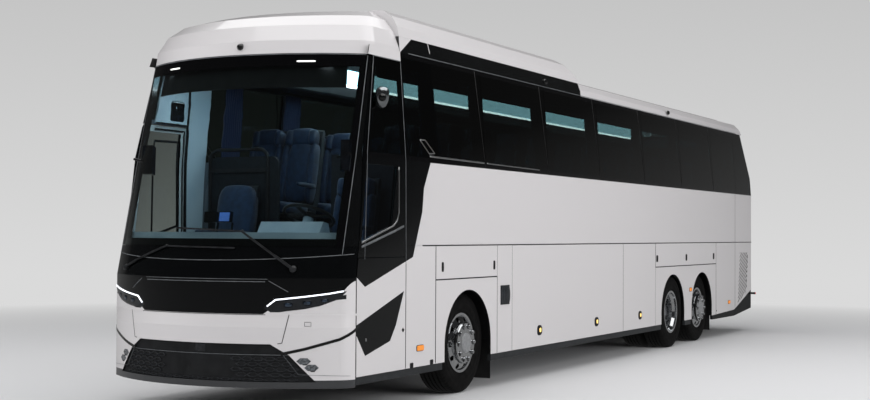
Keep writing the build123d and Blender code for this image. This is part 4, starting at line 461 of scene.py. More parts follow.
def glazing(name, tint, border=None, ior=1.45, cab_tint=None, shade=None):
    """Clear glass of one tint, of another under its cab's top; border(tree, place) is 1 on the print.

    Float glass, drawn quite smooth, gives sharp reflections over a view that its tint darkens, and
    the ceramic print is baked on and glossy black. shade is the colour of the light it lets in.
    """
    made, tree, shader, place = finish_of(name, ("Base Color", linear(tint)), ("Roughness", 0.0),
                                          ("IOR", ior), ("Transmission Weight", 1.0))
    bare = put(tree, "ShaderNodeBsdfTransparent", [("Color", linear(shade or tint))])
    if cab_tint is not None:
        height = put(tree, "ShaderNodeSeparateXYZ", [(0, place)]).outputs[2]
        low = put(tree, "ShaderNodeMath", [(0, height), (1, CAB_GLASS_TOP)],
                  operation="LESS_THAN").outputs[0]
        colour = over(tree, low, linear(tint), linear(cab_tint))
        tree.links.new(colour, shader.inputs["Base Color"])
        tree.links.new(colour, bare.inputs["Color"])
    shadow = put(tree, "ShaderNodeLightPath").outputs["Is Shadow Ray"]
    seen = put(tree, "ShaderNodeMixShader", [(0, shadow), (1, shader.outputs[0]), (2, bare.outputs[0])])
    if border is not None:
        print_black = put(tree, "ShaderNodeBsdfPrincipled", [("Base Color", linear("#060607")),
                                                             ("Roughness", 0.08)])
        seen = put(tree, "ShaderNodeMixShader", [(0, border(tree, place)), (1, seen.outputs[0]),
                                                 (2, print_black.outputs[0])])
    tree.links.new(seen.outputs[0], tree.nodes["Material Output"].inputs["Surface"])
    return made


SCREEN_HALF, SCREEN_LOW, SCREEN_HIGH = 1.145, 1.473, 3.06
PANES_LOW, PANES_HIGH = 2.3025, 3.2125


def screen_border(tree, place):
    """1 beyond the clear screen's half width, and under or over its clear height."""
    split = put(tree, "ShaderNodeSeparateXYZ", [(0, place)])
    wide = put(tree, "ShaderNodeMath", [(0, split.outputs[0])], operation="ABSOLUTE")
    side = put(tree, "ShaderNodeMath", [(0, wide.outputs[0]), (1, SCREEN_HALF)],
               operation="GREATER_THAN")
    middle = put(tree, "ShaderNodeMath", [(0, split.outputs[2]), (1, (SCREEN_LOW + SCREEN_HIGH) / 2)],
                 operation="SUBTRACT")
    tall = put(tree, "ShaderNodeMath", [(0, middle.outputs[0])], operation="ABSOLUTE")
    end = put(tree, "ShaderNodeMath", [(0, tall.outputs[0]), (1, (SCREEN_HIGH - SCREEN_LOW) / 2)],
              operation="GREATER_THAN")
    return put(tree, "ShaderNodeMath", [(0, side.outputs[0]), (1, end.outputs[0])],
               operation="MAXIMUM").outputs[0]


def pane_border(tree, place):
    """1 under and over the clear height of the side panes, down to the top of the cab's glass."""
    split = put(tree, "ShaderNodeSeparateXYZ", [(0, place)])
    middle = put(tree, "ShaderNodeMath", [(0, split.outputs[2]), (1, (PANES_LOW + PANES_HIGH) / 2)],
                 operation="SUBTRACT")
    tall = put(tree, "ShaderNodeMath", [(0, middle.outputs[0])], operation="ABSOLUTE")
    wide = put(tree, "ShaderNodeMath", [(0, tall.outputs[0]), (1, (PANES_HIGH - PANES_LOW) / 2)],
               operation="GREATER_THAN")
    above = put(tree, "ShaderNodeMath", [(0, split.outputs[2]), (1, CAB_GLASS_TOP)],
                operation="GREATER_THAN")
    return put(tree, "ShaderNodeMath", [(0, wide.outputs[0]), (1, above.outputs[0])],
               operation="MULTIPLY").outputs[0]


dress(glazing("laminated_screen_glass", "#DDE6E3", screen_border, shade="#E4E9E9"), "windscreen")
dress(glazing("clear_door_glass", "#E6ECE8"), "door_front_glass")
dress(glazing("privacy_glass", "#3B4440", pane_border, cab_tint="#AEBBC2"), "side_glass_")
dress(glazing("rear_privacy_glass", "#3B4440"), "rear_glass")


# ---------------------------------------------------------------------------
# Panel seams and trim lines: extruded black rubber pressed into the joints of
# the sides and the front, and a grey bead along the edges of the bonded glass,
# which down the front corners is a painted highlight.
HALF_WIDTH, LEAN_IN, LEAN_FROM, LEAN_TO = 1.275, 0.075, 2.26, 3.255
FRONT_Y, FRONT_LEAN, FRONT_LEAN_FROM = -6.93, 0.256, 1.2
FRONT_ARC, CORNER_ARC = 1.9, 0.18


def half_at(z):
    """Half width of the body: even up to the belt, then leaning in by LEAN_IN over LEAN_FROM to LEAN_TO."""
    return HALF_WIDTH - LEAN_IN * np.clip((z - LEAN_FROM) / (LEAN_TO - LEAN_FROM), 0, 1.2)


def side_at(side):
    """Surface of one side as a function of (y, z) and how proud of it."""
    def at(y, z, proud):
        y, z, proud = np.broadcast_arrays(y, z, proud)
        return np.stack((side * (half_at(z) + proud), y, z), axis=-1)
    return at


def front_at(s, z, proud):
    """Surface of the front: a wide arc met by the arcs of its corners; s runs along it from the middle.

    It leans back by FRONT_LEAN of its height over FRONT_LEAN_FROM.
    """
    s, z, proud = np.broadcast_arrays(s, z, proud)
    corner = half_at(z) - CORNER_ARC
    meet = np.arcsin(corner / (FRONT_ARC - CORNER_ARC))
    centre = FRONT_Y + FRONT_LEAN * np.maximum(0, z - FRONT_LEAN_FROM) + FRONT_ARC
    run = np.abs(s) - FRONT_ARC * meet
    bend = np.clip(meet + run / CORNER_ARC, 0, math.pi / 2)
    past = np.maximum(0, run - CORNER_ARC * (math.pi / 2 - meet))
    wide = np.abs(s) / FRONT_ARC
    on_arc = run <= 0
    x = np.where(on_arc, (FRONT_ARC + proud) * np.sin(wide), corner + (CORNER_ARC + proud) * np.sin(bend))
    corner_y = centre - (FRONT_ARC - CORNER_ARC) * np.cos(meet)
    y = np.where(on_arc, centre - (FRONT_ARC + proud) * np.cos(wide),
                 corner_y - (CORNER_ARC + proud) * np.cos(bend) + past)
    return np.stack((np.sign(s) * x, y, z), axis=-1)


def along(points, gap=0.03):
    """A polyline of (u, v) points resampled about evenly."""
    points = np.array(points, float)
    runs = np.concatenate(([0], np.cumsum(np.linalg.norm(np.diff(points, axis=0), axis=1))))
    count = max(2, int(runs[-1] / gap) + 1)
    steps = np.unique(np.concatenate((np.linspace(0, runs[-1], count), runs)).round(6))
    return np.stack([np.interp(steps, runs, points[:, n]) for n in (0, 1)], axis=1)


def ribbon(at, points, width, proud=0.0012, deep=0.003, gap=0.03):
    """A closed strip on a surface along a polyline of (u, v) points."""
    line = along(points, gap)
    tangent = np.gradient(line, axis=0)
    tangent /= np.linalg.norm(tangent, axis=1)[:, None]
    normal = np.stack((-tangent[:, 1], tangent[:, 0]), axis=1)
    edges = line[:, None] + normal[:, None] * np.array((-0.5, 0.5))[:, None] * width
    top = at(edges[..., 0], edges[..., 1], proud)
    under = at(edges[..., 0], edges[..., 1], proud - deep)
    return np.concatenate((top, under[:, ::-1]), axis=1), True, True


def sheet_on(at, low, high, proud=0.0012, deep=0.003, across=6, gap=0.03):
    """A closed plate on a surface between two polylines of (u, v) points."""
    low, high = along(low, gap), along(high, gap)
    count = max(len(low), len(high))
    share = np.linspace(0, 1, count)
    ends = [np.stack([np.interp(share, np.linspace(0, 1, len(line)), line[:, n]) for n in (0, 1)], axis=1)
            for line in (low, high)]
    blend = np.linspace(0, 1, across)[:, None]
    flat = ends[0][:, None] * (1 - blend) + ends[1][:, None] * blend
    top = at(flat[..., 0], flat[..., 1], proud)
    under = at(flat[..., 0], flat[..., 1], proud - deep)
    return np.concatenate((top, under[:, ::-1]), axis=1), True, True


# extruded rubber: a thin dull black line
seal = patterned("black_seam_rubber", {"Roughness": 0.6}, "#0B0B0C", "#161617", 60, (4, 0.1))
# extruded grey plastic: a thin line that catches some light; down the front corners its grey is a painted
# highlight
bead = patterned("grey_glazing_bead", {"Roughness": 0.35}, "#55585B", "#6A6D70", 90, (6, 0.05))
FLAP_TOP, ARCH_TOP, SKIRT_LOW, CORNER_Y = 1.474, 1.146, 0.36, -5.455
PANE_SHARES, PANES_LONG, PANE_RAKE = (0.1417, 0.281, 0.419, 0.5603, 0.6971, 0.8318), 12.1, 0.13
# seams: the two ends (y, z) and the width
SEAM_LINES = (
    ((-5.13, FLAP_TOP), (6.86, FLAP_TOP), 0.011), ((CORNER_Y, SKIRT_LOW), (CORNER_Y, 1.31), 0.010),
    ((-4.853, SKIRT_LOW), (-4.853, 1.468), 0.012), ((-4.85, ARCH_TOP), (-3.445, ARCH_TOP), 0.012),
    ((-3.443, SKIRT_LOW), (-3.443, 1.14), 0.006), ((0.45, SKIRT_LOW), (0.45, 1.468), 0.006),
    ((1.76, 1.14), (1.76, 1.468), 0.011), ((1.76, ARCH_TOP), (4.72, ARCH_TOP), 0.012),
    ((4.726, SKIRT_LOW), (4.726, 1.468), 0.008), ((5.83, 0.42), (5.83, 2.25), 0.007))
seams, beads = [], []
for side in (1, -1):
    at = side_at(side)
    for start, end, width in SEAM_LINES:
        seams.append(ribbon(at, [start, end], width, gap=0.4))
    for line in ([(CORNER_Y, 1.33), (-5.47, 2.26), (-5.46, 3.17)], [(-5.46, 3.17), (-5.98, 3.17)],
                 [(-5.29, 3.262), (6.1, 3.262)]):
        beads.append(ribbon(at, line, 0.007, 0.002, gap=0.2))
    for share in PANE_SHARES:
        y = CORNER_Y + share * PANES_LONG
        seams.append(ribbon(at, [(y, 2.265), (y - PANE_RAKE, 3.25)], 0.012, gap=0.4))
skin("side_seams", seams, seal)
beads.append(ribbon(side_at(1), [(-6.215, 1.36), (-6.175, 2.30), (-5.96, 3.17)], 0.007, 0.002, gap=0.2))
door_bead = ribbon(side_at(-1), [(-6.215, 1.36), (-6.175, 2.30), (-6.101, 2.60)], 0.007, 0.002, gap=0.2)
skin("entrance_door_bead", [door_bead], bead, body="door_front")
front_seams = [ribbon(front_at, [(side * 0.868, 0.893), (side * 0.86, 0.86), (side * 0.808, 0.65),
                                 (side * 0.77, 0.645)], 0.006) for side in (1, -1)]
skin("bumper_seams", front_seams, seal)
for side in (1, -1):
    beads.append(ribbon(front_at, [(side * 0.82, 0.548), (side * 0.95, 0.384), (side * 1.4, 0.369)], 0.003))
# the screen's lower edge bows up towards the corners
s_line = np.linspace(-1.40, 1.40, 41)
for line, width in ((np.stack((s_line, 1.35 + 0.05 * (s_line / 1.3) ** 2), 1), 0.006),
                    ([(-0.6, 1.17), (0.66, 1.17)], 0.006), ([(-0.62, 1.192), (0.68, 1.192)], 0.004),
                    (np.stack((s_line * 0.9, 3.172 + 0 * s_line), 1), 0.007)):
    beads.append(ribbon(front_at, line, width, 0.002))
for side in (1, -1):
    beads.append(ribbon(front_at, [(side * 0.69, 1.178), (side * 0.86, 1.085)], 0.005, 0.002))
    # the grey line down each front corner is a painted highlight of the bent corner
    beads.append(ribbon(front_at, [(side * 1.275, 3.165), (side * 1.29, 2.26), (side * 1.29, 1.4)],
                        0.007, 0.002))
skin("glazing_beads", beads, bead)


# ---------------------------------------------------------------------------
# Roof corners: enamelled infill behind the dome, where the black roof edge
# starts on a slope.
DOME_END, MASK_LOW = -5.458, 0.889
infills = []
for side in (1, -1):
    at = side_at(side)
    infills.append(sheet_on(at, [(DOME_END, 3.258), (DOME_END, 3.405)], [(-5.444, 3.258), (-5.215, 3.405)],
                            -0.002, 0.03))
    # pressed lips that close the roof over the front side pane and the cove's corner
    infills.append(sheet_on(at, [(-6.06, 3.174), (DOME_END, 3.174)], [(-6.025, 3.262), (DOME_END, 3.262)],
                            0.002, 0.006))
    infills.append(ribbon(at, [(-4.886, 3.40), (-4.852, 3.31)], 0.012, 0.002))
split_at(skin("roof_corner_infills", infills, coach_enamel("enamel_infill")))
lips = [ribbon(front_at, np.stack((side * np.linspace(0.665, 1.48, 20), np.full(20, MASK_LOW)), 1),
               0.018, 0.0012) for side in (1, -1)]
split_at(skin("mask_lower_lips", lips, coach_enamel("enamel_lips", middle=FRONT_MIDDLE, front=True)))


# ---------------------------------------------------------------------------
# Headlamps: a smoked polycarbonate cover bonded in the mask, with a white LED
# light guide along its upper edge and three projector lenses behind it.
def button(at, centre, half, rise, power=4.0, steps=28, rim=0.25, start=-0.002):
    """Domed plate on a surface, whose rounded edge rises as it shrinks.

    Its rings are |u| ** power + |v| ** power = 1, from an oval at 2 to nearly a rectangle at 10.
    """
    angle = np.linspace(0, 2 * math.pi, steps, endpoint=False)
    u = np.sign(np.cos(angle)) * np.abs(np.cos(angle)) ** (2 / power)
    v = np.sign(np.sin(angle)) * np.abs(np.sin(angle)) ** (2 / power)
    rings = np.array([(1.0, 0.0), (1.0, 0.45), (1 - rim * 0.3, 0.8), (1 - rim, 1.0), (0.5 - rim / 2, 1.08),
                      (0.01, 1.1)])
    grow, up = rings[:, :1], start + (rise - start) * rings[:, 1:]
    return at(centre[0] + half[0] * grow * u, centre[1] + half[1] * grow * v, up), True, True


def glow(name, hex_colour, strength):
    """A glowing lens of moulded acrylic: a bright cell of its own colour, with light of that colour; lit on
    the lamps, painted light on a reflector.
    """
    made, tree, shader, place = finish_of(name, ("Base Color", linear(hex_colour)), ("Roughness", 0.2),
                                          ("Emission Color", linear(hex_colour)),
                                          ("Emission Strength", strength))
    relief(tree, shader, place, 5, 0.1, CELLS)
    return made


# clear moulded cover, smoked: deep blue black with sharp highlights
smoked = patterned("smoked_polycarbonate", {"Roughness": 0.06, "Coat Weight": 0.4, "IOR": 1.58},
                   "#0B0D10", "#15191E", 110, (20, 0.05))
dress(smoked, "lamps_front")
light_guide = glow("lit_led_light_guide", "#F4F7FF", 1.3)
# pressed glass: a dark bluish eye with one bright spot
lens_glass = patterned("projector_lens_glass", {"Roughness": 0.05, "Coat Weight": 1.0},
                       "#1B232D", "#2C3948", 30)
# dark chrome: grey rings round the lenses
bezel = patterned("dark_chrome_bezel", {"Metallic": 1.0, "Roughness": 0.25}, "#3A3D42", "#55595F", 40)
covers, guides, lenses, rings_of_lenses = [], [], [], []
for side in (1, -1):
    top = [(side * 0.678, 0.962), (side * 0.752, 1.018), (side * 1.0, 1.045), (side * 1.2, 1.07),
           (side * 1.33, 1.092)]
    low = [(side * 0.69, 0.955), (side * 0.78, 0.914), (side * 1.0, 0.94), (side * 1.14, 0.97),
           (side * 1.29, 1.028), (side * 1.36, 1.09)]
    covers.append(sheet_on(front_at, low, top, 0.002, 0.006, across=8))
    guides.append(ribbon(front_at, top, 0.012, 0.006, 0.006))
    for s, z, half in ((0.86, 0.975, 0.042), (1.02, 0.99, 0.040), (1.17, 1.012, 0.034)):
        rings_of_lenses.append(button(front_at, (side * s, z), (half, half * 0.6), 0.004, 3.0, rim=0.1))
        lenses.append(button(front_at, (side * s, z), (half * 0.8, half * 0.42), 0.006, 3.0, rim=0.5))
skin("headlamp_covers", covers, smoked)
skin("daytime_light_guides", guides, light_guide)
skin("headlamp_bezels", rings_of_lenses, bezel)
skin("headlamp_lenses", lenses, lens_glass)


# ---------------------------------------------------------------------------
# Front trims: a black moulding from the grille up to each corner, elongated
# six-sided fog lamps, white marker lamps behind the glass, and a tow cover.
FOGS, FOG_HALF = ((0.995, 0.498), (1.062, 0.443)), (0.062, 0.031)
strips, fogs, markers = [], [], []
for side in (1, -1):
    strips.append(ribbon(front_at, [(side * 0.80, 0.557), (side * 1.0, 0.600), (side * 1.3, 0.682),
                                    (side * 1.44, 0.748), (side * 1.52, 0.795)], 0.025, 0.003, 0.006))
    for s, z in FOGS:
        angle = np.linspace(0, 2 * math.pi, 6, endpoint=False)[None, :]
        grow = np.array((1.0, 1.0, 0.9, 0.78, 0.02))[:, None]
        up = np.array((-0.002, 0.004, 0.006, 0.004, 0.0035))[:, None]
        across = side * s + FOG_HALF[0] * grow * np.cos(angle)
        fogs.append((front_at(across, z + FOG_HALF[1] * grow * np.sin(angle), up), True, True))
    markers.append(button(front_at, (side * 0.735, 3.105), (0.085, 0.007), 0.003, 6.0))
split_at(skin("bumper_mouldings", strips, gloss_black))
# fluted glass: grey with paler patches painted on as glints, besides the real glints from its fluted relief
fog_glass_painted_glints = patterned("fluted_fog_glass_painted_glints", {"Roughness": 0.2, "Coat Weight": 0.8},
                     "#34373A", "#6E7276", 14, (9, 0.6, CELLS))
split_at(skin("fog_lamps", fogs, fog_glass_painted_glints), 20)
skin("marker_lamps_front", markers, glow("lit_marker_lens", "#F6F6F2", 1.1))
tow_edge = [(1.0, 0.83), (1.055, 0.83), (1.055, 0.795), (1.0, 0.795), (1.0, 0.83)]
skin("tow_cover", [ribbon(front_at, tow_edge, 0.003, 0.0012)], seal)


# ---------------------------------------------------------------------------
# Lower grille: injection-moulded black polypropylene with rows of flattened
# six-sided cells either side of a plain field, and a radar cover above them.
GRILLE_BACK = -0.017


def cell(centre, half, bar, rise):
    """A flattened six-sided frame on the front: its bar stands up by rise round a hollow."""
    angle = np.linspace(0, 2 * math.pi, 6, endpoint=False)[None, :]
    shrink = bar / half[1]
    grow = np.array((1.0, 1.0, 1 - shrink, 1 - shrink))[:, None]
    up = np.array((GRILLE_BACK, -0.014 + rise, -0.014 + rise * 0.6, GRILLE_BACK))[:, None]
    s = centre[0] + half[0] * grow * np.cos(angle)
    return front_at(s, centre[1] + half[1] * grow * np.sin(angle), up), True, False


# moulded, ungrained: a dark grey with sheen on each bar
cell_plastic = patterned("satin_grille_plastic", {"Roughness": 0.3}, "#202124", "#2C2E31", 30, (5, 0.1))
CELL_PITCH, CELL_RISE, PLAIN_HALF = 0.1, 0.008, 0.40
cells = []
for row, z in enumerate((0.515, 0.47, 0.425, 0.38)):
    # the grille narrows upwards, and every other row is set half a cell out
    reach = np.interp(z, (0.32, 0.547), (1.04, 0.84)) - 0.06
    for side in (1, -1):
        for column in range(9):
            s = PLAIN_HALF + CELL_PITCH * column + (CELL_PITCH / 2 if row % 2 else 0.0)
            if FRONT_ARC * math.sin(s / FRONT_ARC) < reach:
                cells.append(cell((side * s, z), (0.055, 0.02), 0.006, CELL_RISE))
for column in range(-9, 10):
    if abs(FRONT_ARC * math.sin(CELL_PITCH * column / FRONT_ARC)) < 0.95:
        cells.append(cell((CELL_PITCH * column, 0.338), (0.055, 0.012), 0.005, CELL_RISE))
split_at(skin("grille_cells", cells, cell_plastic), 25)
skin("grille_band_edge", [ribbon(front_at, [(-0.86, 0.548), (0.86, 0.548)], 0.005, -0.011, 0.004)], bead)
radar = button(front_at, (0.055, 0.602), (0.052, 0.037), -0.009, 10.0, rim=0.08, start=GRILLE_BACK)
skin("radar_cover", [radar], cell_plastic)


# ---------------------------------------------------------------------------
# Wipers: pressed steel arms painted satin black, on pivots in the mask, each
# with a slim blade and its rubber lip.

# baked satin paint on pressed steel: black with a narrow highlight
wiper_paint = patterned("satin_black_steel", {"Roughness": 0.32}, "#191A1B", "#27282A", 50, (8, 0.05))
arms = []
for pivot, elbow, tip in (((0.888, 1.280), (0.395, 1.600), (-0.292, 1.628)),
                          ((-1.030, 1.268), (-0.379, 1.468), (0.348, 1.456))):
    arms.append(ribbon(front_at, [pivot, elbow], 0.017, 0.026, 0.009))
    root = [p + 0.35 * (e - p) for p, e in zip(pivot, elbow)]
    arms.append(ribbon(front_at, [pivot, root], 0.024, 0.024, 0.010))
    arms.append(ribbon(front_at, [elbow, tip], 0.014, 0.020, 0.008))
    arms.append(ribbon(front_at, [elbow, tip], 0.006, 0.012, 0.010))
    arms.append(button(front_at, elbow, (0.013, 0.013), 0.028, 2.0, start=0.008))
    arms.append(button(front_at, pivot, (0.030, 0.030), 0.028, 2.0, start=0.0, rim=0.4))
wipers = split_at(skin("wiper_arms", arms, wiper_paint))
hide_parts("wipers")


# ---------------------------------------------------------------------------
# Side trims: satin aluminium belt strips and an angled frame at the corner,
# the bright surround of the driver's window, painted shade of slots, locks and jacking clips.

# drawn and anodised: an even, bright satin line
aluminium = patterned("satin_anodised_aluminium", {"Metallic": 1.0, "Roughness": 0.28},
                      "#D6D8DA", "#E4E5E6", 200, (8, 0.05))
bright, darks, clips = [], [], []
for side in (1, -1):
    at = side_at(side)
    bright.append(ribbon(at, [(-4.98, 2.318), (-3.76, 2.312)], 0.016, 0.002))
    bright.append(ribbon(at, [(-3.70, 2.311), (-2.31, 2.303)], 0.012, 0.002))
    bright.append(ribbon(at, [(-5.164, 2.463), (-5.062, 2.469), (-4.875, 2.351), (-4.987, 2.342),
                              (-5.164, 2.463)], 0.009, 0.002))
    # locks of the panels: narrow ones ahead of the flaps, wide ones behind
    for y, z in ((-4.706, 1.267), (-3.519, 1.266), (1.832, 1.262), (3.179, 1.262), (4.592, 1.264)):
        darks.append(button(at, (y, z), (0.024 if y < 0 else 0.04, 0.047), 0.003, 5.0))
    body, name = ("flap_service", "service_flap_lock") if side > 0 else ("door_front", "entrance_door_lock")
    skin(name, [button(at, (-5.506, 0.708), (0.022, 0.022), 0.003, 1.2)], seal, body=body)
    # a round lock low behind the last wheel, and small black plates down the edge of the louvres: painted
    # shade of slots
    darks.append(button(at, (4.755, 0.415), (0.013, 0.013), 0.003, 2.0))
    for share in (np.arange(7) + 0.5) / 7:
        darks.append(button(at, (6.615 - 0.085 * share, 1.27 - 0.56 * share), (0.012, 0.022), 0.003, 5.0))
    clips += [button(at, (-5.337, 0.372), (0.032, 0.024), 0.006, 6.0),
              button(at, (-4.934, 0.372), (0.032, 0.024), 0.006, 6.0)]
at = side_at(1)
skin("service_flap_button", [button(at, (-6.182, 0.66), (0.012, 0.014), 0.003, 2.0)], aluminium,
     body="flap_service")
bright.append(ribbon(at, [(-5.60, 2.19), (-5.595, 1.78), (-5.63, 1.70), (-5.70, 1.655), (-6.27, 1.505)],
                     0.014, 0.003, gap=0.05))
skin("bright_side_trims", bright, aluminium)
sill = ribbon(at, [(-5.50, 1.655), (-5.66, 1.612), (-6.27, 1.468)], 0.020, 0.003, gap=0.05)
skin("window_sill_strip", [sill], bead)
skin("locks_and_painted_slot_shade", darks, seal)
skin("sill_clips", clips, trim)


# ---------------------------------------------------------------------------
# Side lamps: amber reflecting markers at the ends, whose glow is painted light, and lit yellow
# markers in oval black surrounds along the luggage flaps, all moulded acrylic.
# the amber reflectors are no lamps: their glow is painted light for the light they throw back
amber = glow("amber_reflector_painted_glow", "#E08A3C", 0.35)
yellow = glow("lit_yellow_marker_lens", "#F6D27A", 1.0)
ambers, frames = [], []
for side in (1, -1):
    at = side_at(side)
    for y, z, half in ((-5.170, 0.521, 0.068), (3.383, 0.789, 0.055), (5.471, 0.521, 0.06)):
        frames.append(button(at, (y, z), (half + 0.006, 0.030), 0.006, 6.0))
        ambers.append(button(at, (y, z), (half, 0.025), 0.012, 6.0, start=0.004))
    for flap, places in (("front", (-2.308, -0.517)), ("rear", (1.113,))):
        flap += "_left" if side > 0 else "_right"
        skin(f"flap_marker_surrounds_{flap}", [button(at, (y, 0.522), (0.066, 0.056), 0.008, 3.0)
                                               for y in places], trim, body=f"flap_luggage_{flap}")
        lit = [button(at, (y + 0.004, 0.524), (0.024, 0.024), 0.013, 3.0, start=0.006) for y in places]
        skin(f"flap_markers_{flap}", lit, yellow, body=f"flap_luggage_{flap}")
skin("amber_side_markers", ambers, amber)
skin("side_marker_frames", frames, trim)


# ---------------------------------------------------------------------------
# Side air vents: one barrel-shaped moulding of black polypropylene a side, bowed
# out, with upright slats, pressed into the skirt behind the front wheel.
VENT_START, VENT_END, VENT_Y, VENT_Z, SLATS_A_METRE = -3.355, -3.135, -3.245, 0.9475, 32
vents = []
for side in (1, -1):
    y = np.linspace(VENT_START, VENT_END, 45)
    z = np.linspace(0.852, 1.043, 9)[:, None]
    # a cosine bows it out both ways, and its sides curve in towards the top and bottom
    bowed = 0.004 + 0.016 * np.cos(math.pi * (y - VENT_Y) / 0.24) * np.cos(math.pi * (z - VENT_Z) / 0.22)
    slats = 0.007 * (np.abs(((y - VENT_START) * SLATS_A_METRE) % 1 - 0.5) < 0.22)
    proud = bowed + slats
    barrel = VENT_Y + (y[None, :] - VENT_Y) * (1.04 - 14 * (z - VENT_Z) ** 2)
    top = side_at(side)(barrel, z + 0 * y, proud)
    under = side_at(side)(barrel, z + 0 * y, -0.01 + 0 * proud)
    vents.append((np.concatenate((top, under[:, ::-1]), axis=1), True, True))
# moulded: dark grey, its slats lined by their sheen
vent_plastic = patterned("satin_vent_plastic", {"Roughness": 0.35}, "#2A2C2F", "#35383B", 60)
split_at(skin("side_vents", vents, vent_plastic), 20)


# ---------------------------------------------------------------------------
# Cameras: egg-shaped metal shells of the mirror cameras on their arms, small cameras
# on the roof edge, and a round one on the dome, all with black glass.
EGG = [(-0.095, 0.0001), (-0.090, 0.026), (-0.072, 0.044), (-0.03, 0.059), (0.02, 0.063), (0.058, 0.060),
       (0.078, 0.050), (0.082, 0.046), (0.092, 0.030), (0.095, 0.0001)]
shells, eyes = [], []
for side in (1, -1):
    # the right one sits further back than the left one
    reach_y = -5.97 if side > 0 else -5.76
    egg = turned(EGG, (side * 1.300, reach_y, 2.79), (0.10 * side, 0.0, 1.0), 36)
    arm = turned([(-0.03, 0.040), (0.0, 0.036), (0.09, 0.028)], (side * 1.215, reach_y + 0.09, 2.80),
                 (side * 0.085, -0.09, -0.01), 20)
    shells += [(egg, True, False), (arm, True, True)]
    at = side_at(side)
    eyes += [button(at, (y, 3.325), (0.045, 0.03), 0.02, 2.0) for y in (-1.99, 2.54)]
    eyes.append((turned([(0.0, 0.036), (0.012, 0.034), (0.026, 0.022), (0.03, 0.0001)],
                        (side * 1.330, reach_y - 0.045, 2.785), (side * 0.5, -0.8, -0.1), 20), True, False))
eyes.append((turned([(-0.02, 0.030), (0.012, 0.030), (0.03, 0.024), (0.042, 0.0001)],
                    (0.09, -6.405, 3.252), (0.0, -1.0, -0.25), 24), True, False))
# satin chrome: a pale grey egg with blurred reflections
chrome = patterned("satin_chromed_shell", {"Metallic": 1.0, "Roughness": 0.22}, "#A9ADB1", "#BCC0C3", 60)
mirror_cameras = skin("camera_shells", shells, chrome)
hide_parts("cameras")
skin("camera_eyes", eyes, gloss_black)


# ---------------------------------------------------------------------------
# Rear width lamps: short black rubber arms low on the tail's sides, each with
# a small red lens in its end.
stubs, stub_lenses = [], []
for side in (1, -1):
    root, out = (side * 1.272, 6.75, 0.62), (side, 0.0, 0.0)
    stubs.append((turned([(-0.01, 0.024), (0.012, 0.024), (0.022, 0.017), (0.075, 0.017), (0.09, 0.020),
                          (0.098, 0.020)], root, out, 20), True, True))
    stub_lenses.append((turned([(0.094, 0.016), (0.104, 0.013), (0.107, 0.0001)], root, out, 20), True, True))
skin("width_lamp_arms", stubs, black_rubber)
skin("width_lamp_lenses", stub_lenses, glow("red_width_lens", "#B4161B", 0.3))


# ---------------------------------------------------------------------------
# Rear lamps: red acrylic bonded in the corners of the tail, with moulded
# prisms behind the face.

# moulded acrylic over prisms: deep red, glittering in cells
red_acrylic = patterned("moulded_red_acrylic", {"Roughness": 0.12, "Coat Weight": 0.6, "IOR": 1.49},
                        "#7E0B0E", "#A81418", 25, (5, 0.4, CELLS))
dress(red_acrylic, "lamps_rear")


# ---------------------------------------------------------------------------
# Cab lining: moulded pale plastic screwed to the pillar behind the entrance
# door and to the panel over it, which has a small dark window.

# moulded lining: a pale, even blue grey in the cab's light
lining_plastic = patterned("pale_moulded_lining", {"Roughness": 0.45},
                           "#A8C2D2", "#B4CCDA", 300, (2, 0.1, CELLS))
at = side_at(-1)
LINING_TOP, LINING_IN, SEAL_IN = 3.10, -0.036, -0.056
# two panels: (y, z) of the lower edge, the y of the upper one's ends, and the thickness
linings = [sheet_on(at, low, [(y, LINING_TOP) for y in high], LINING_IN, thick) for low, high, thick in (
    ([(-5.44, 1.43), (-5.19, 1.43)], (-5.45, -5.10), 0.022),
    ([(-5.98, 2.64), (-5.46, 2.64)], (-5.90, -5.46), 0.020))]
pillar = split_at(skin("door_pillar_lining", linings, lining_plastic))
pillar.modifiers.new("rounded", "BEVEL").width = 0.004
pillar_seals = [ribbon(at, line, width, SEAL_IN, 0.02, gap=0.2) for line, width in (
    ([(-5.477, 1.45), (-5.477, LINING_TOP)], 0.014), ([(-5.97, 2.645), (-5.47, 2.645)], 0.012))]
skin("door_pillar_seals", pillar_seals, seal)


def inward(y, z, proud):
    """The lining's own surface, which rises towards the cab."""
    return at(y, z, SEAL_IN - proud)


skin("lining_window", [button(inward, (-5.65, 2.775), (0.11, 0.10), 0.003, 8.0)], smoked)


# ---------------------------------------------------------------------------
# Saloon racks: slim charcoal shelves hung from dark ceiling housings, with lit
# frosted acrylic and a brighter edge along their aisle side.
def extruded(section, low, high, axis=1):
    """A closed section of two coordinates drawn out along the remaining axis."""
    section = np.array(section, float)
    return np.array([np.insert(section, axis, end, axis=1) for end in (low, high)]), True, True


# laminated board: matt charcoal
housing_paint = patterned("charcoal_rack_laminate", {"Roughness": 0.6}, "#17191B", "#1E2022", 120, (3, 0.1))
rack_light = glow("lit_frosted_rack_acrylic", "#AEDDF2", 5.0)
line_light = glow("lit_rack_edge_acrylic", "#EAF6FF", 14.0)
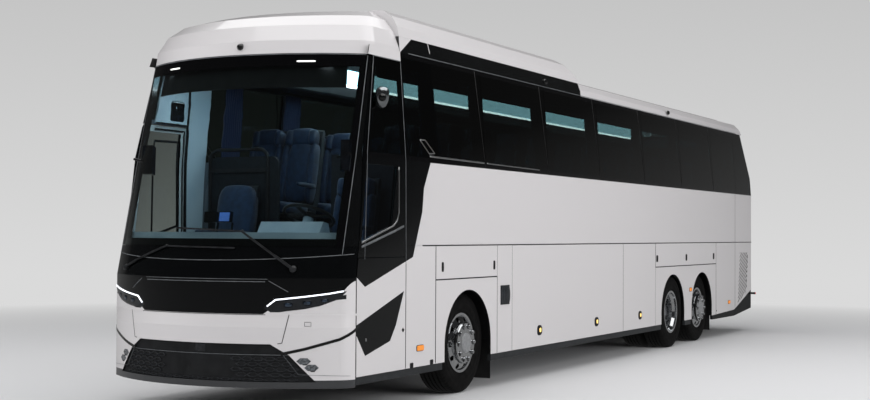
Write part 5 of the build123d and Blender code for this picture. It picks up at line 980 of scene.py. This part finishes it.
# sections of (x, z), from the aisle outwards
SHELF = ((0.652, 3.20), (0.655, 3.115), (0.680, 3.095), (1.150, 3.125), (1.150, 3.142), (0.690, 3.120),
         (0.672, 3.20))
HOUSING = ((0.652, 3.198), (0.672, 3.198), (0.672, 3.40), (0.90, 3.46), (0.85, 3.50), (0.60, 3.54),
           (0.61, 3.40))
LIGHT_PANEL = ((0.652, 3.242), (0.638, 3.242), (0.598, 3.395), (0.612, 3.395))
LIGHT_EDGE = ((0.655, 3.241), (0.655, 3.218), (0.640, 3.218), (0.636, 3.241))
RACK_START, RACK_END, LIT_START, LIT_END = -4.95, 6.23, -4.90, 6.20
shelves, panels, edges = [], [], []
for side in (1, -1):
    for made, section, start, end in ((shelves, SHELF, RACK_START, RACK_END),
                                      (shelves, HOUSING, RACK_START, RACK_END),
                                      (panels, LIGHT_PANEL, LIT_START, LIT_END),
                                      (edges, LIGHT_EDGE, LIT_START, LIT_END)):
        made.append(extruded([(side * x, z) for x, z in section], start, end))
racks = split_at(skin("rack_shelves", shelves, housing_paint))
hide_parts("luggage_racks")
split_at(skin("rack_light_panels", panels, rack_light))
skin("rack_light_edges", edges, line_light)


# ---------------------------------------------------------------------------
# Curtains: navy woven polyester, pleated and hung at the window pillars from
# the ceiling housings, each a single layer gathered from a wider flat cut.

# woven polyester: a matt navy, its threads drawn coarser than they are so that they show at all
THREAD_MM = 1.2
curtain_cloth, tree, shader, place = finish_of("navy_curtain_polyester", ("Roughness", 0.85),
                                               ("Sheen Weight", 0.3))
# a wave texture of scale 1 repeats every 0.1 pi metres
weave = put(tree, "ShaderNodeTexWave", [("Vector", place), ("Scale", 100 * math.pi / THREAD_MM),
                                        ("Distortion", 1.0)], bands_direction="Z")
dyed = put(tree, "ShaderNodeMix", [(0, weave.outputs[0]), (6, linear("#16233C")), (7, linear("#22345A"))],
           data_type="RGBA")
tree.links.new(dyed.outputs[2], shader.inputs["Base Color"])
relief(tree, shader, place, THREAD_MM, 0.15)
CURTAINS_Y, PLEATS, DROP, RAIL_Z = (-4.78, -3.67, -2.06, -0.39, 1.33, 2.98, 4.60, 5.90), 9, 0.98, 3.10
for side, side_name in ((1, "left"), (-1, "right")):
    for n, middle in enumerate(CURTAINS_Y):
        # u runs across and v down; sine pleats deepen downwards and wander a little
        u = np.linspace(0, 1, 81)[None, :]
        v = np.linspace(0, 1, 15)[:, None]
        half_run = 0.15 + 0.012 * np.sin(3 * v + n)
        fold = 0.017 * np.sin(2 * math.pi * (PLEATS * u + 0.12 * np.sin(4 * v + n))) * (0.55 + 0.45 * v)
        z = RAIL_Z - DROP * v + 0 * u
        x = side * (half_at(z) - 0.105 - fold)
        y = middle + (u - 0.5) * 2 * half_run - 0.02 * v * (1 - v)
        grid = np.stack((x, y, z), axis=-1)
        across = np.linalg.norm(np.diff(grid, axis=1), axis=2).sum(axis=1).mean()
        cloth = skin(f"curtain_{side_name}_{n}", [(grid, False, False)], curtain_cloth, turned_right=False)
rails = [extruded([(side * 1.155, 3.09), (side * 1.10, 3.09), (side * 1.10, 3.125), (side * 1.155, 3.125)],
                  -4.95, 6.15) for side in (1, -1)]
skin("curtain_rails", rails, housing_paint)


# ---------------------------------------------------------------------------
# Seats: navy leather over foam on moulded shells, with piped cushions, ribbed
# backs, winged headrests and hinged armrests, bolted to the deck in rows.
def pad(centre, half, lean=0.0, crown=0.0, channels=0, rows=15, steps=28):
    """A stuffed cushion: |x| ** 5 + |y| ** 5 + |z| ** 5 = 1, pinched at the corners.

    Its front swells by crown towards the middle, cut by upright channels, and it leans back
    by an angle. half is its half size.
    """
    up = (np.linspace(-1, 1, rows) * math.pi / 2 * 0.985)[:, None]
    turn = np.linspace(0, 2 * math.pi, steps, endpoint=False)[None, :]
    soft = [np.sign(w) * np.abs(w) ** (2 / 5) for w in (np.cos(up), np.sin(up), np.cos(turn), np.sin(turn))]
    a, b, c = soft[0] * soft[2], soft[0] * soft[3], soft[1] + 0 * turn
    pinch = 1 - 0.06 * (a * c) ** 2
    swell = crown * (1 - a ** 2) * (1 - c ** 2) * (b < 0)
    if channels:
        swell = swell - 0.35 * crown * (np.abs(np.sin(channels * math.pi * (a + 1) / 2)) < 0.25) * (b < 0)
    x, y, z = a * half[0] * pinch, b * half[1] - swell, c * half[2] * pinch
    return (np.stack((centre[0] + x, centre[1] + y * math.cos(lean) + z * math.sin(lean),
                      centre[2] - y * math.sin(lean) + z * math.cos(lean)), axis=-1), True, True)


# dyed and embossed: dark blue with a soft sheen along its piping
leather = patterned("navy_seat_leather", {"Roughness": 0.45, "Sheen Weight": 0.15},
                    "#142338", "#1C304B", 60, (3, 0.3, CELLS))
# moulded shell: dull dark grey
shell_plastic = patterned("grey_seat_shell", {"Roughness": 0.5}, "#1D2023", "#272B2F", 60, (2, 0.15))
# rolled vinyl: dark grey with fine pale flecks, drawn coarse enough to show
deck_vinyl = patterned("flecked_deck_vinyl", {"Roughness": 0.6},
                       "#26292C", "#3B3F43", 4, (5, 0.2), (0.3, 0.7))
dress(deck_vinyl, "deck")
BACK_LEAN, SEAT_HALF = 0.2, 0.2


def seat_pads(x, front, floor, lift, kind, grown=0.0):
    """Cushion, back, bolsters and headrest of one seat, whose middle is x and whose front edge is front.

    lift is the height of its cushion over the floor, and grown what its back has over a plain one's.
    """
    # each seat is a little softer or fuller than the next
    give = 0.003 * math.sin(7.3 * (x + front))
    cushions = [pad((x, front + 0.25, floor + lift - 0.015), (0.196, 0.235, 0.062), 0.03, 0.0)]
    top = cushions[0][0]
    top[..., 2] += (0.016 + give) * (1 - ((top[..., 0] - x) / 0.21) ** 2) * (top[..., 2] > floor + lift)
    if kind == "guide":
        return cushions, [pad((x, front + 0.60, floor + 0.80), (0.215, 0.075, 0.35), 0.16, 0.02, 0)]
    backs = [pad((x, front + 0.575, floor + 0.76 + grown / 2), (0.150, 0.055, 0.27 + grown / 2), 0.20,
                 0.022 + give, 5)]
    for way in (-1, 1):
        backs.append(pad((x + way * 0.165, front + 0.555, floor + 0.74 + grown / 2),
                         (0.036, 0.066, 0.26 + grown / 2), 0.20, 0.01, 0, 11, 16))
        backs.append(pad((x + way * 0.140, front + 0.595 + BACK_LEAN * grown, floor + 1.055 + grown),
                         (0.040, 0.060, 0.085), 0.2, 0.012, 0, 11, 16))
    backs.append(pad((x, front + 0.620 + BACK_LEAN * grown, floor + 1.065 + grown), (0.150, 0.050, 0.095),
                     0.2, 0.016, 0, 13, 22))
    return cushions, backs


FIRST_ROW, ROW_PITCH, ROWS, SALOON_FLOOR, CAB_FLOOR = -4.910, 0.815, 14, 1.405, 0.955
AISLE_SEAT, WINDOW_SEAT, SALOON_GROWN = 0.590, 1.010, 0.12
shells, armrests = [], []
# each seat: its middle x, its front y, its floor and its cushion's height
rows_of_seats = [(f"row_{n}", [(side * across, FIRST_ROW + ROW_PITCH * n, SALOON_FLOOR, 0.44)
                               for side in (1, -1) for across in (AISLE_SEAT, WINDOW_SEAT)])
                 for n in range(ROWS)]
rows_of_seats += [("driver", [(0.65, -5.895, 0.965, 0.47)]), ("guide", [(-0.72, -5.895, 0.91, 0.39)])]
for name, seats_of in rows_of_seats:
    grown = SALOON_GROWN if name.startswith("row") else 0.0
    shift = BACK_LEAN * grown
    cushions, backs = [], []
    for x, front, floor, lift in seats_of:
        low, tall = seat_pads(x, front, floor, lift, name, grown)
        cushions, backs = cushions + low, backs + tall
        shells.append(extruded([(front + y, floor + z) for y, z in (
            (0.04, lift - 0.07), (0.10, lift - 0.10), (0.44, lift - 0.10), (0.56, lift - 0.06), (0.63, 0.52),
            (0.725 + shift, 1.10 + grown), (0.705 + shift, 1.145 + grown),
            (0.675 + shift, 1.13 + grown), (0.57, 0.60), (0.49, lift - 0.03))],
            x - SEAT_HALF, x + SEAT_HALF, 0))
        # the guide's seat is bolted to the edge of the cab floor, beside the steps
        stand, foot = (x + 0.24, CAB_FLOOR) if name == "guide" else (x, floor - 0.004)
        shells.append(extruded([(front + 0.14, foot), (front + 0.42, foot),
                                (front + 0.40, floor + lift - 0.09), (front + 0.16, floor + lift - 0.09)],
                               stand - 0.045, stand + 0.045, 0))
        for way in (-1, 1):
            # none between a window seat and the wall
            if abs(x + way * SEAT_HALF) < 1.15:
                armrests.append(pad((x + way * SEAT_HALF, front + 0.37, floor + 0.675), (0.017, 0.17, 0.022),
                                    0.05, 0.0, 0, 9, 14))
    made_low = skin(f"seat_cushions_{name}", cushions, leather)
    made_tall = skin(f"seat_backs_{name}", backs, leather)
seat_shells = split_at(skin("seat_shells", shells, shell_plastic))
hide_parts("seats")
skin("seat_armrests", armrests, leather)


# ---------------------------------------------------------------------------
# Driver's place: pale blue grey dashboard of soft plastic, two screens and a
# mirror display on stalks, the steering wheel, a header panel and a partition.

# slush-moulded skin over foam: pale blue grey with no shine
dash_skin = patterned("pale_soft_dashboard", {"Roughness": 0.5},
                      "#98B0C2", "#A6BDCD", 250, (1.5, 0.15, CELLS))
dress(dash_skin, "dashboard")
# smooth leather: black with a soft highlight round the rim
rim_leather = patterned("stitched_black_leather", {"Roughness": 0.4},
                        "#121314", "#1C1D1F", 20, (2, 0.2, CELLS))
dress(rim_leather, "steering_wheel")
COLUMN_LEAN = math.radians(25)
hub_axis, hub_middle = (0.0, math.sin(COLUMN_LEAN), math.cos(COLUMN_LEAN)), (0.650, -6.130, 1.735)
cover = turned([(0.016, 0.050), (0.021, 0.048), (0.022, 0.030), (0.0225, 0.0001)], hub_middle, hub_axis, 30)
skin("steering_wheel_hub", [(cover, True, True)], aluminium, body="steering_wheel")
# switched-off display: black glass with a clear reflection
panel = patterned("dark_display_glass", {"Roughness": 0.08, "Coat Weight": 0.6}, "#08090B", "#0D1014", 80)
screens = []
for middle_x, wide in ((-0.185, 0.066), (-0.028, 0.068)):
    screens.append(extruded([(-6.47, 1.68), (-6.44, 1.675), (-6.425, 1.77), (-6.455, 1.775)],
                            middle_x - wide, middle_x + wide, 0))
    stalk = turned([(0.0, 0.012), (0.19, 0.010)], (middle_x + 0.08, -6.50, 1.49), (0.0, 0.25, 0.97), 12)
    screens.append((stalk, True, True))
for low_x, high_x in ((-1.07, -0.95), (1.09, 1.17)):
    screens.append(extruded([(-6.33, 2.13), (-6.28, 2.12), (-6.27, 2.38), (-6.32, 2.40)], low_x, high_x, 0))
for side in (1, -1):
    arm = turned([(-0.02, 0.012), (0.13, 0.012)], (side * 1.06, -6.30, 2.25), (side, 0.0, 0.2), 12)
    screens.append((arm, True, True))
split_at(skin("dash_screens", screens, panel))
display = extruded([(-6.478, 1.69), (-6.471, 1.688), (-6.456, 1.765), (-6.463, 1.767)], -0.08, 0.025, 0)
skin("lit_display", [display], glow("lit_blue_display", "#3F62A8", 0.6))
header = sheet_on(front_at, [(-1.13, 2.875), (1.13, 2.875)], [(-1.10, 3.175), (1.10, 3.175)], -0.075, 0.02,
                  across=4, gap=0.1)
split_at(skin("sunblind_header", [header], housing_paint))
# woven panel: nearly black and quite matt
screen_print = patterned("dark_woven_partition", {"Roughness": 0.7}, "#14171B", "#1B1F24", 40, (1.5, 0.2))
dress(screen_print, "partition")
# a tube of 38 mm round the partition's edge: two uprights joined over quarter-circle bends
bend = np.linspace(0, math.pi / 2, 7)
left_end, right_end, foot, head, corner_radius, tube_radius = -0.47, -1.17, 1.41, 2.42, 0.11, 0.019
path = np.concatenate((
    [(left_end, foot)],
    np.stack((left_end - corner_radius + corner_radius * np.cos(bend),
              head - corner_radius + corner_radius * np.sin(bend)), 1),
    np.stack((right_end + corner_radius - corner_radius * np.sin(bend),
              head - corner_radius + corner_radius * np.cos(bend)), 1),
    [(right_end, foot)]))
tangent = np.gradient(path, axis=0)
tangent /= np.linalg.norm(tangent, axis=1)[:, None]
ring = np.linspace(0, 2 * math.pi, 12, endpoint=False)[None, :, None]
centre = np.insert(path, 1, -5.115, axis=1)[:, None]
outward = np.insert(np.stack((tangent[:, 1], -tangent[:, 0]), 1), 1, 0.0, axis=1)[:, None]
tube = centre + tube_radius * (outward * np.cos(ring) + np.array((0.0, 1.0, 0.0)) * np.sin(ring))
cross = extruded([(-5.13, 2.19), (-5.10, 2.19), (-5.10, 2.23), (-5.13, 2.23)], right_end, left_end, 0)
split_at(skin("partition_frame", [(tube, True, True), cross], trim))
# black strips painted in as the shade of the opening round the entrance door's glass and of the groove of its
# lining
door_shade_lines = []
at = side_at(-1)
for line, width in (
        ([(-5.975, 1.55), (-5.958, 2.47), (-5.595, 2.475), (-5.582, 1.65), (-5.975, 1.55)], 0.024),
        ([(-5.50, 1.46), (-5.50, 2.585), (-5.97, 2.585)], 0.018)):
    door_shade_lines.append(ribbon(at, line, width, -0.041, 0.004, gap=0.1))
skin("door_lining_painted_shade", door_shade_lines, seal, body="door_front")


# ---------------------------------------------------------------------------
# Studio: a matt pale floor that sweeps up into the back wall, large soft lamps
# outside, the coach's own cab and saloon lights, and the camera.
FLOOR_START, FLOOR_END, FLOOR_SIDE, SWEEP_RADIUS, WALL_HEIGHT = -60.0, 32.0, 60.0, 9.0, 30.0
STUDIO_TURN = math.radians(27.0)
turn = np.linspace(0, math.pi / 2, 25)
depth = np.concatenate(([FLOOR_START], FLOOR_END + SWEEP_RADIUS * np.sin(turn), [FLOOR_END + SWEEP_RADIUS]))
height = np.concatenate(([0.0], SWEEP_RADIUS * (1 - np.cos(turn)), [WALL_HEIGHT]))
view_cos, view_sin = math.cos(STUDIO_TURN), math.sin(STUDIO_TURN)
points = []
for across in (-FLOOR_SIDE, FLOOR_SIDE):
    points.append(np.stack((across * view_cos - depth * view_sin, across * view_sin + depth * view_cos,
                            height), 1))
count = len(depth)
sweep = bpy.data.meshes.new("studio_sweep")
sweep.from_pydata(np.concatenate(points).tolist(), [],
                  [(n, n + count, n + count + 1, n + 1) for n in range(count - 1)])
sweep.shade_smooth()
backdrop = bpy.data.objects.new("studio_sweep", sweep)
bpy.context.scene.collection.objects.link(backdrop)
# matt wall paint: an even pale grey without any shine
studio, tree, shader, place = finish_of("matt_studio_paint", ("Base Color", linear("#D5D5D6")),
                                        ("Roughness", 0.8))
# the far floor and the wall show the camera, also through glass, one even tone
seen_by = put(tree, "ShaderNodeLightPath").outputs
shown = put(tree, "ShaderNodeMath", [(0, seen_by["Is Camera Ray"]), (1, seen_by["Is Transmission Ray"])],
            operation="MAXIMUM")
glossy = seen_by["Is Glossy Ray"]
away = put(tree, "ShaderNodeVectorMath", [(0, place)], operation="LENGTH")
far = put(tree, "ShaderNodeMapRange", [(0, away.outputs[1]), (1, 7.0), (2, 16.0)])
height_of = put(tree, "ShaderNodeSeparateXYZ", [(0, place)])
fade = put(tree, "ShaderNodeMapRange", [(0, height_of.outputs[2]), (1, 0.0), (2, 16.0), (3, 0.70),
                                        (4, 0.5)])
# polished surfaces see a dim hall: the wall fades out upwards
dim = put(tree, "ShaderNodeMapRange", [(0, height_of.outputs[2]), (1, 0.0), (2, 12.0), (3, 0.22), (4, 0.03)])
dimmed = put(tree, "ShaderNodeEmission", [("Color", (1.0, 1.0, 1.0, 1.0)), ("Strength", dim.outputs[0])])
lit = put(tree, "ShaderNodeEmission", [("Color", (1.0, 1.0, 1.0, 1.0)), ("Strength", fade.outputs[0])])
share = put(tree, "ShaderNodeMath", [(0, shown.outputs[0]), (1, far.outputs[0])], operation="MULTIPLY")
both = put(tree, "ShaderNodeMixShader", [(0, share.outputs[0]), (1, shader.outputs[0]), (2, lit.outputs[0])])
mirrored = put(tree, "ShaderNodeMixShader", [(0, glossy), (1, both.outputs[0]), (2, dimmed.outputs[0])])
# from outside, the wall is clear, so that a view from far behind isn't hidden
outside = put(tree, "ShaderNodeNewGeometry").outputs["Backfacing"]
clear = put(tree, "ShaderNodeBsdfTransparent")
walled = put(tree, "ShaderNodeMixShader", [(0, outside), (1, mirrored.outputs[0]), (2, clear.outputs[0])])
tree.links.new(walled.outputs[0], tree.nodes["Material Output"].inputs["Surface"])
sweep.materials.append(studio)

# lamps: place, what they aim at, size and watts; only the overhead one shows in polished surfaces
for name, place, aim, size, power in (
    ("overhead", (1.0, -1.0, 11.0), (0.0, 0.0, 0.0), (16.0, 22.0), 1500.0),
    ("front", (1.0, -17.0, 6.5), (0.0, -4.0, 1.5), (12.0, 7.0), 480.0),
    ("side", (16.0, -1.5, 6.0), (0.0, 0.5, 1.5), (18.0, 7.0), 1480.0),
    ("left", (-12.0, -12.0, 7.0), (-3.0, -8.0, 0.0), (8.0, 8.0), 900.0),
    ("cab_light", (0.0, -6.0, 3.08), (0.0, -5.7, 1.0), (1.8, 0.4), 18.0),
    ("saloon_light", (0.0, -3.6, 3.38), (0.0, -3.8, 1.0), (0.9, 2.4), 20.0),
):
    lamp = bpy.data.lights.new(name, "AREA")
    lamp.shape, lamp.size, lamp.size_y, lamp.energy = "RECTANGLE", *size, power
    held = bpy.data.objects.new(name, lamp)
    bpy.context.scene.collection.objects.link(held)
    held.location = place
    held.visible_camera = held.visible_transmission = False
    held.visible_glossy = name == "overhead"
    if name.endswith("_light"):
        # cool white, as the coach's own lighting strips are
        lamp.color = (0.82, 0.92, 1.0)
    aimed = np.array(aim) - np.array(place)
    held.rotation_mode = "QUATERNION"
    held.rotation_quaternion = Vector(aimed).to_track_quat("-Z", "Y")

# a faint even light from all round, fainter still in polished and clear surfaces
world = bpy.data.worlds.new("studio_air")
world.use_nodes = True
world.node_tree.nodes.clear()
seen_by = put(world.node_tree, "ShaderNodeLightPath").outputs
mirrored_sky = put(world.node_tree, "ShaderNodeMath", [(0, seen_by["Is Glossy Ray"]),
                                                       (1, seen_by["Is Transmission Ray"])],
                   operation="MAXIMUM").outputs[0]
air = put(world.node_tree, "ShaderNodeMapRange", [(0, mirrored_sky), (3, 0.25), (4, 0.03)])
sky = put(world.node_tree, "ShaderNodeBackground", [("Color", linear("#E8EAEE")),
                                                    ("Strength", air.outputs[0])])
put(world.node_tree, "ShaderNodeOutputWorld", [("Surface", sky.outputs[0])])
bpy.context.scene.world = world

# focal length in pixels of a frame 870 wide; the camera looks along +Y, turned by yaw, pitch and roll
FOCAL_PIXELS, FRAME_WIDE, SENSOR_MM = 1422.08, 870, 36.0
CAMERA_AT = (7.4365, -16.9411, 1.5841)
camera_data = bpy.data.cameras.new("camera")
camera_data.sensor_width = SENSOR_MM
camera_data.lens = SENSOR_MM * FOCAL_PIXELS / FRAME_WIDE
camera_data.clip_end = 300.0
camera = bpy.data.objects.new("camera", camera_data)
bpy.context.scene.collection.objects.link(camera)
yaw, pitch, roll = (math.radians(a) for a in (27.0567, 1.3689, 0.2954))
ahead = np.array((-math.sin(yaw) * math.cos(pitch), math.cos(yaw) * math.cos(pitch), math.sin(pitch)))
right = np.cross(ahead, (0, 0, 1))
right /= np.linalg.norm(right)
up = np.cross(right, ahead)
right, up = (right * math.cos(roll) + up * math.sin(roll), up * math.cos(roll) - right * math.sin(roll))
rows = [(right[n], up[n], -ahead[n], CAMERA_AT[n]) for n in range(3)]
camera.matrix_world = Matrix((*rows, (0, 0, 0, 1)))
bpy.context.scene.camera = camera
bpy.context.scene.view_settings.view_transform = "Standard"
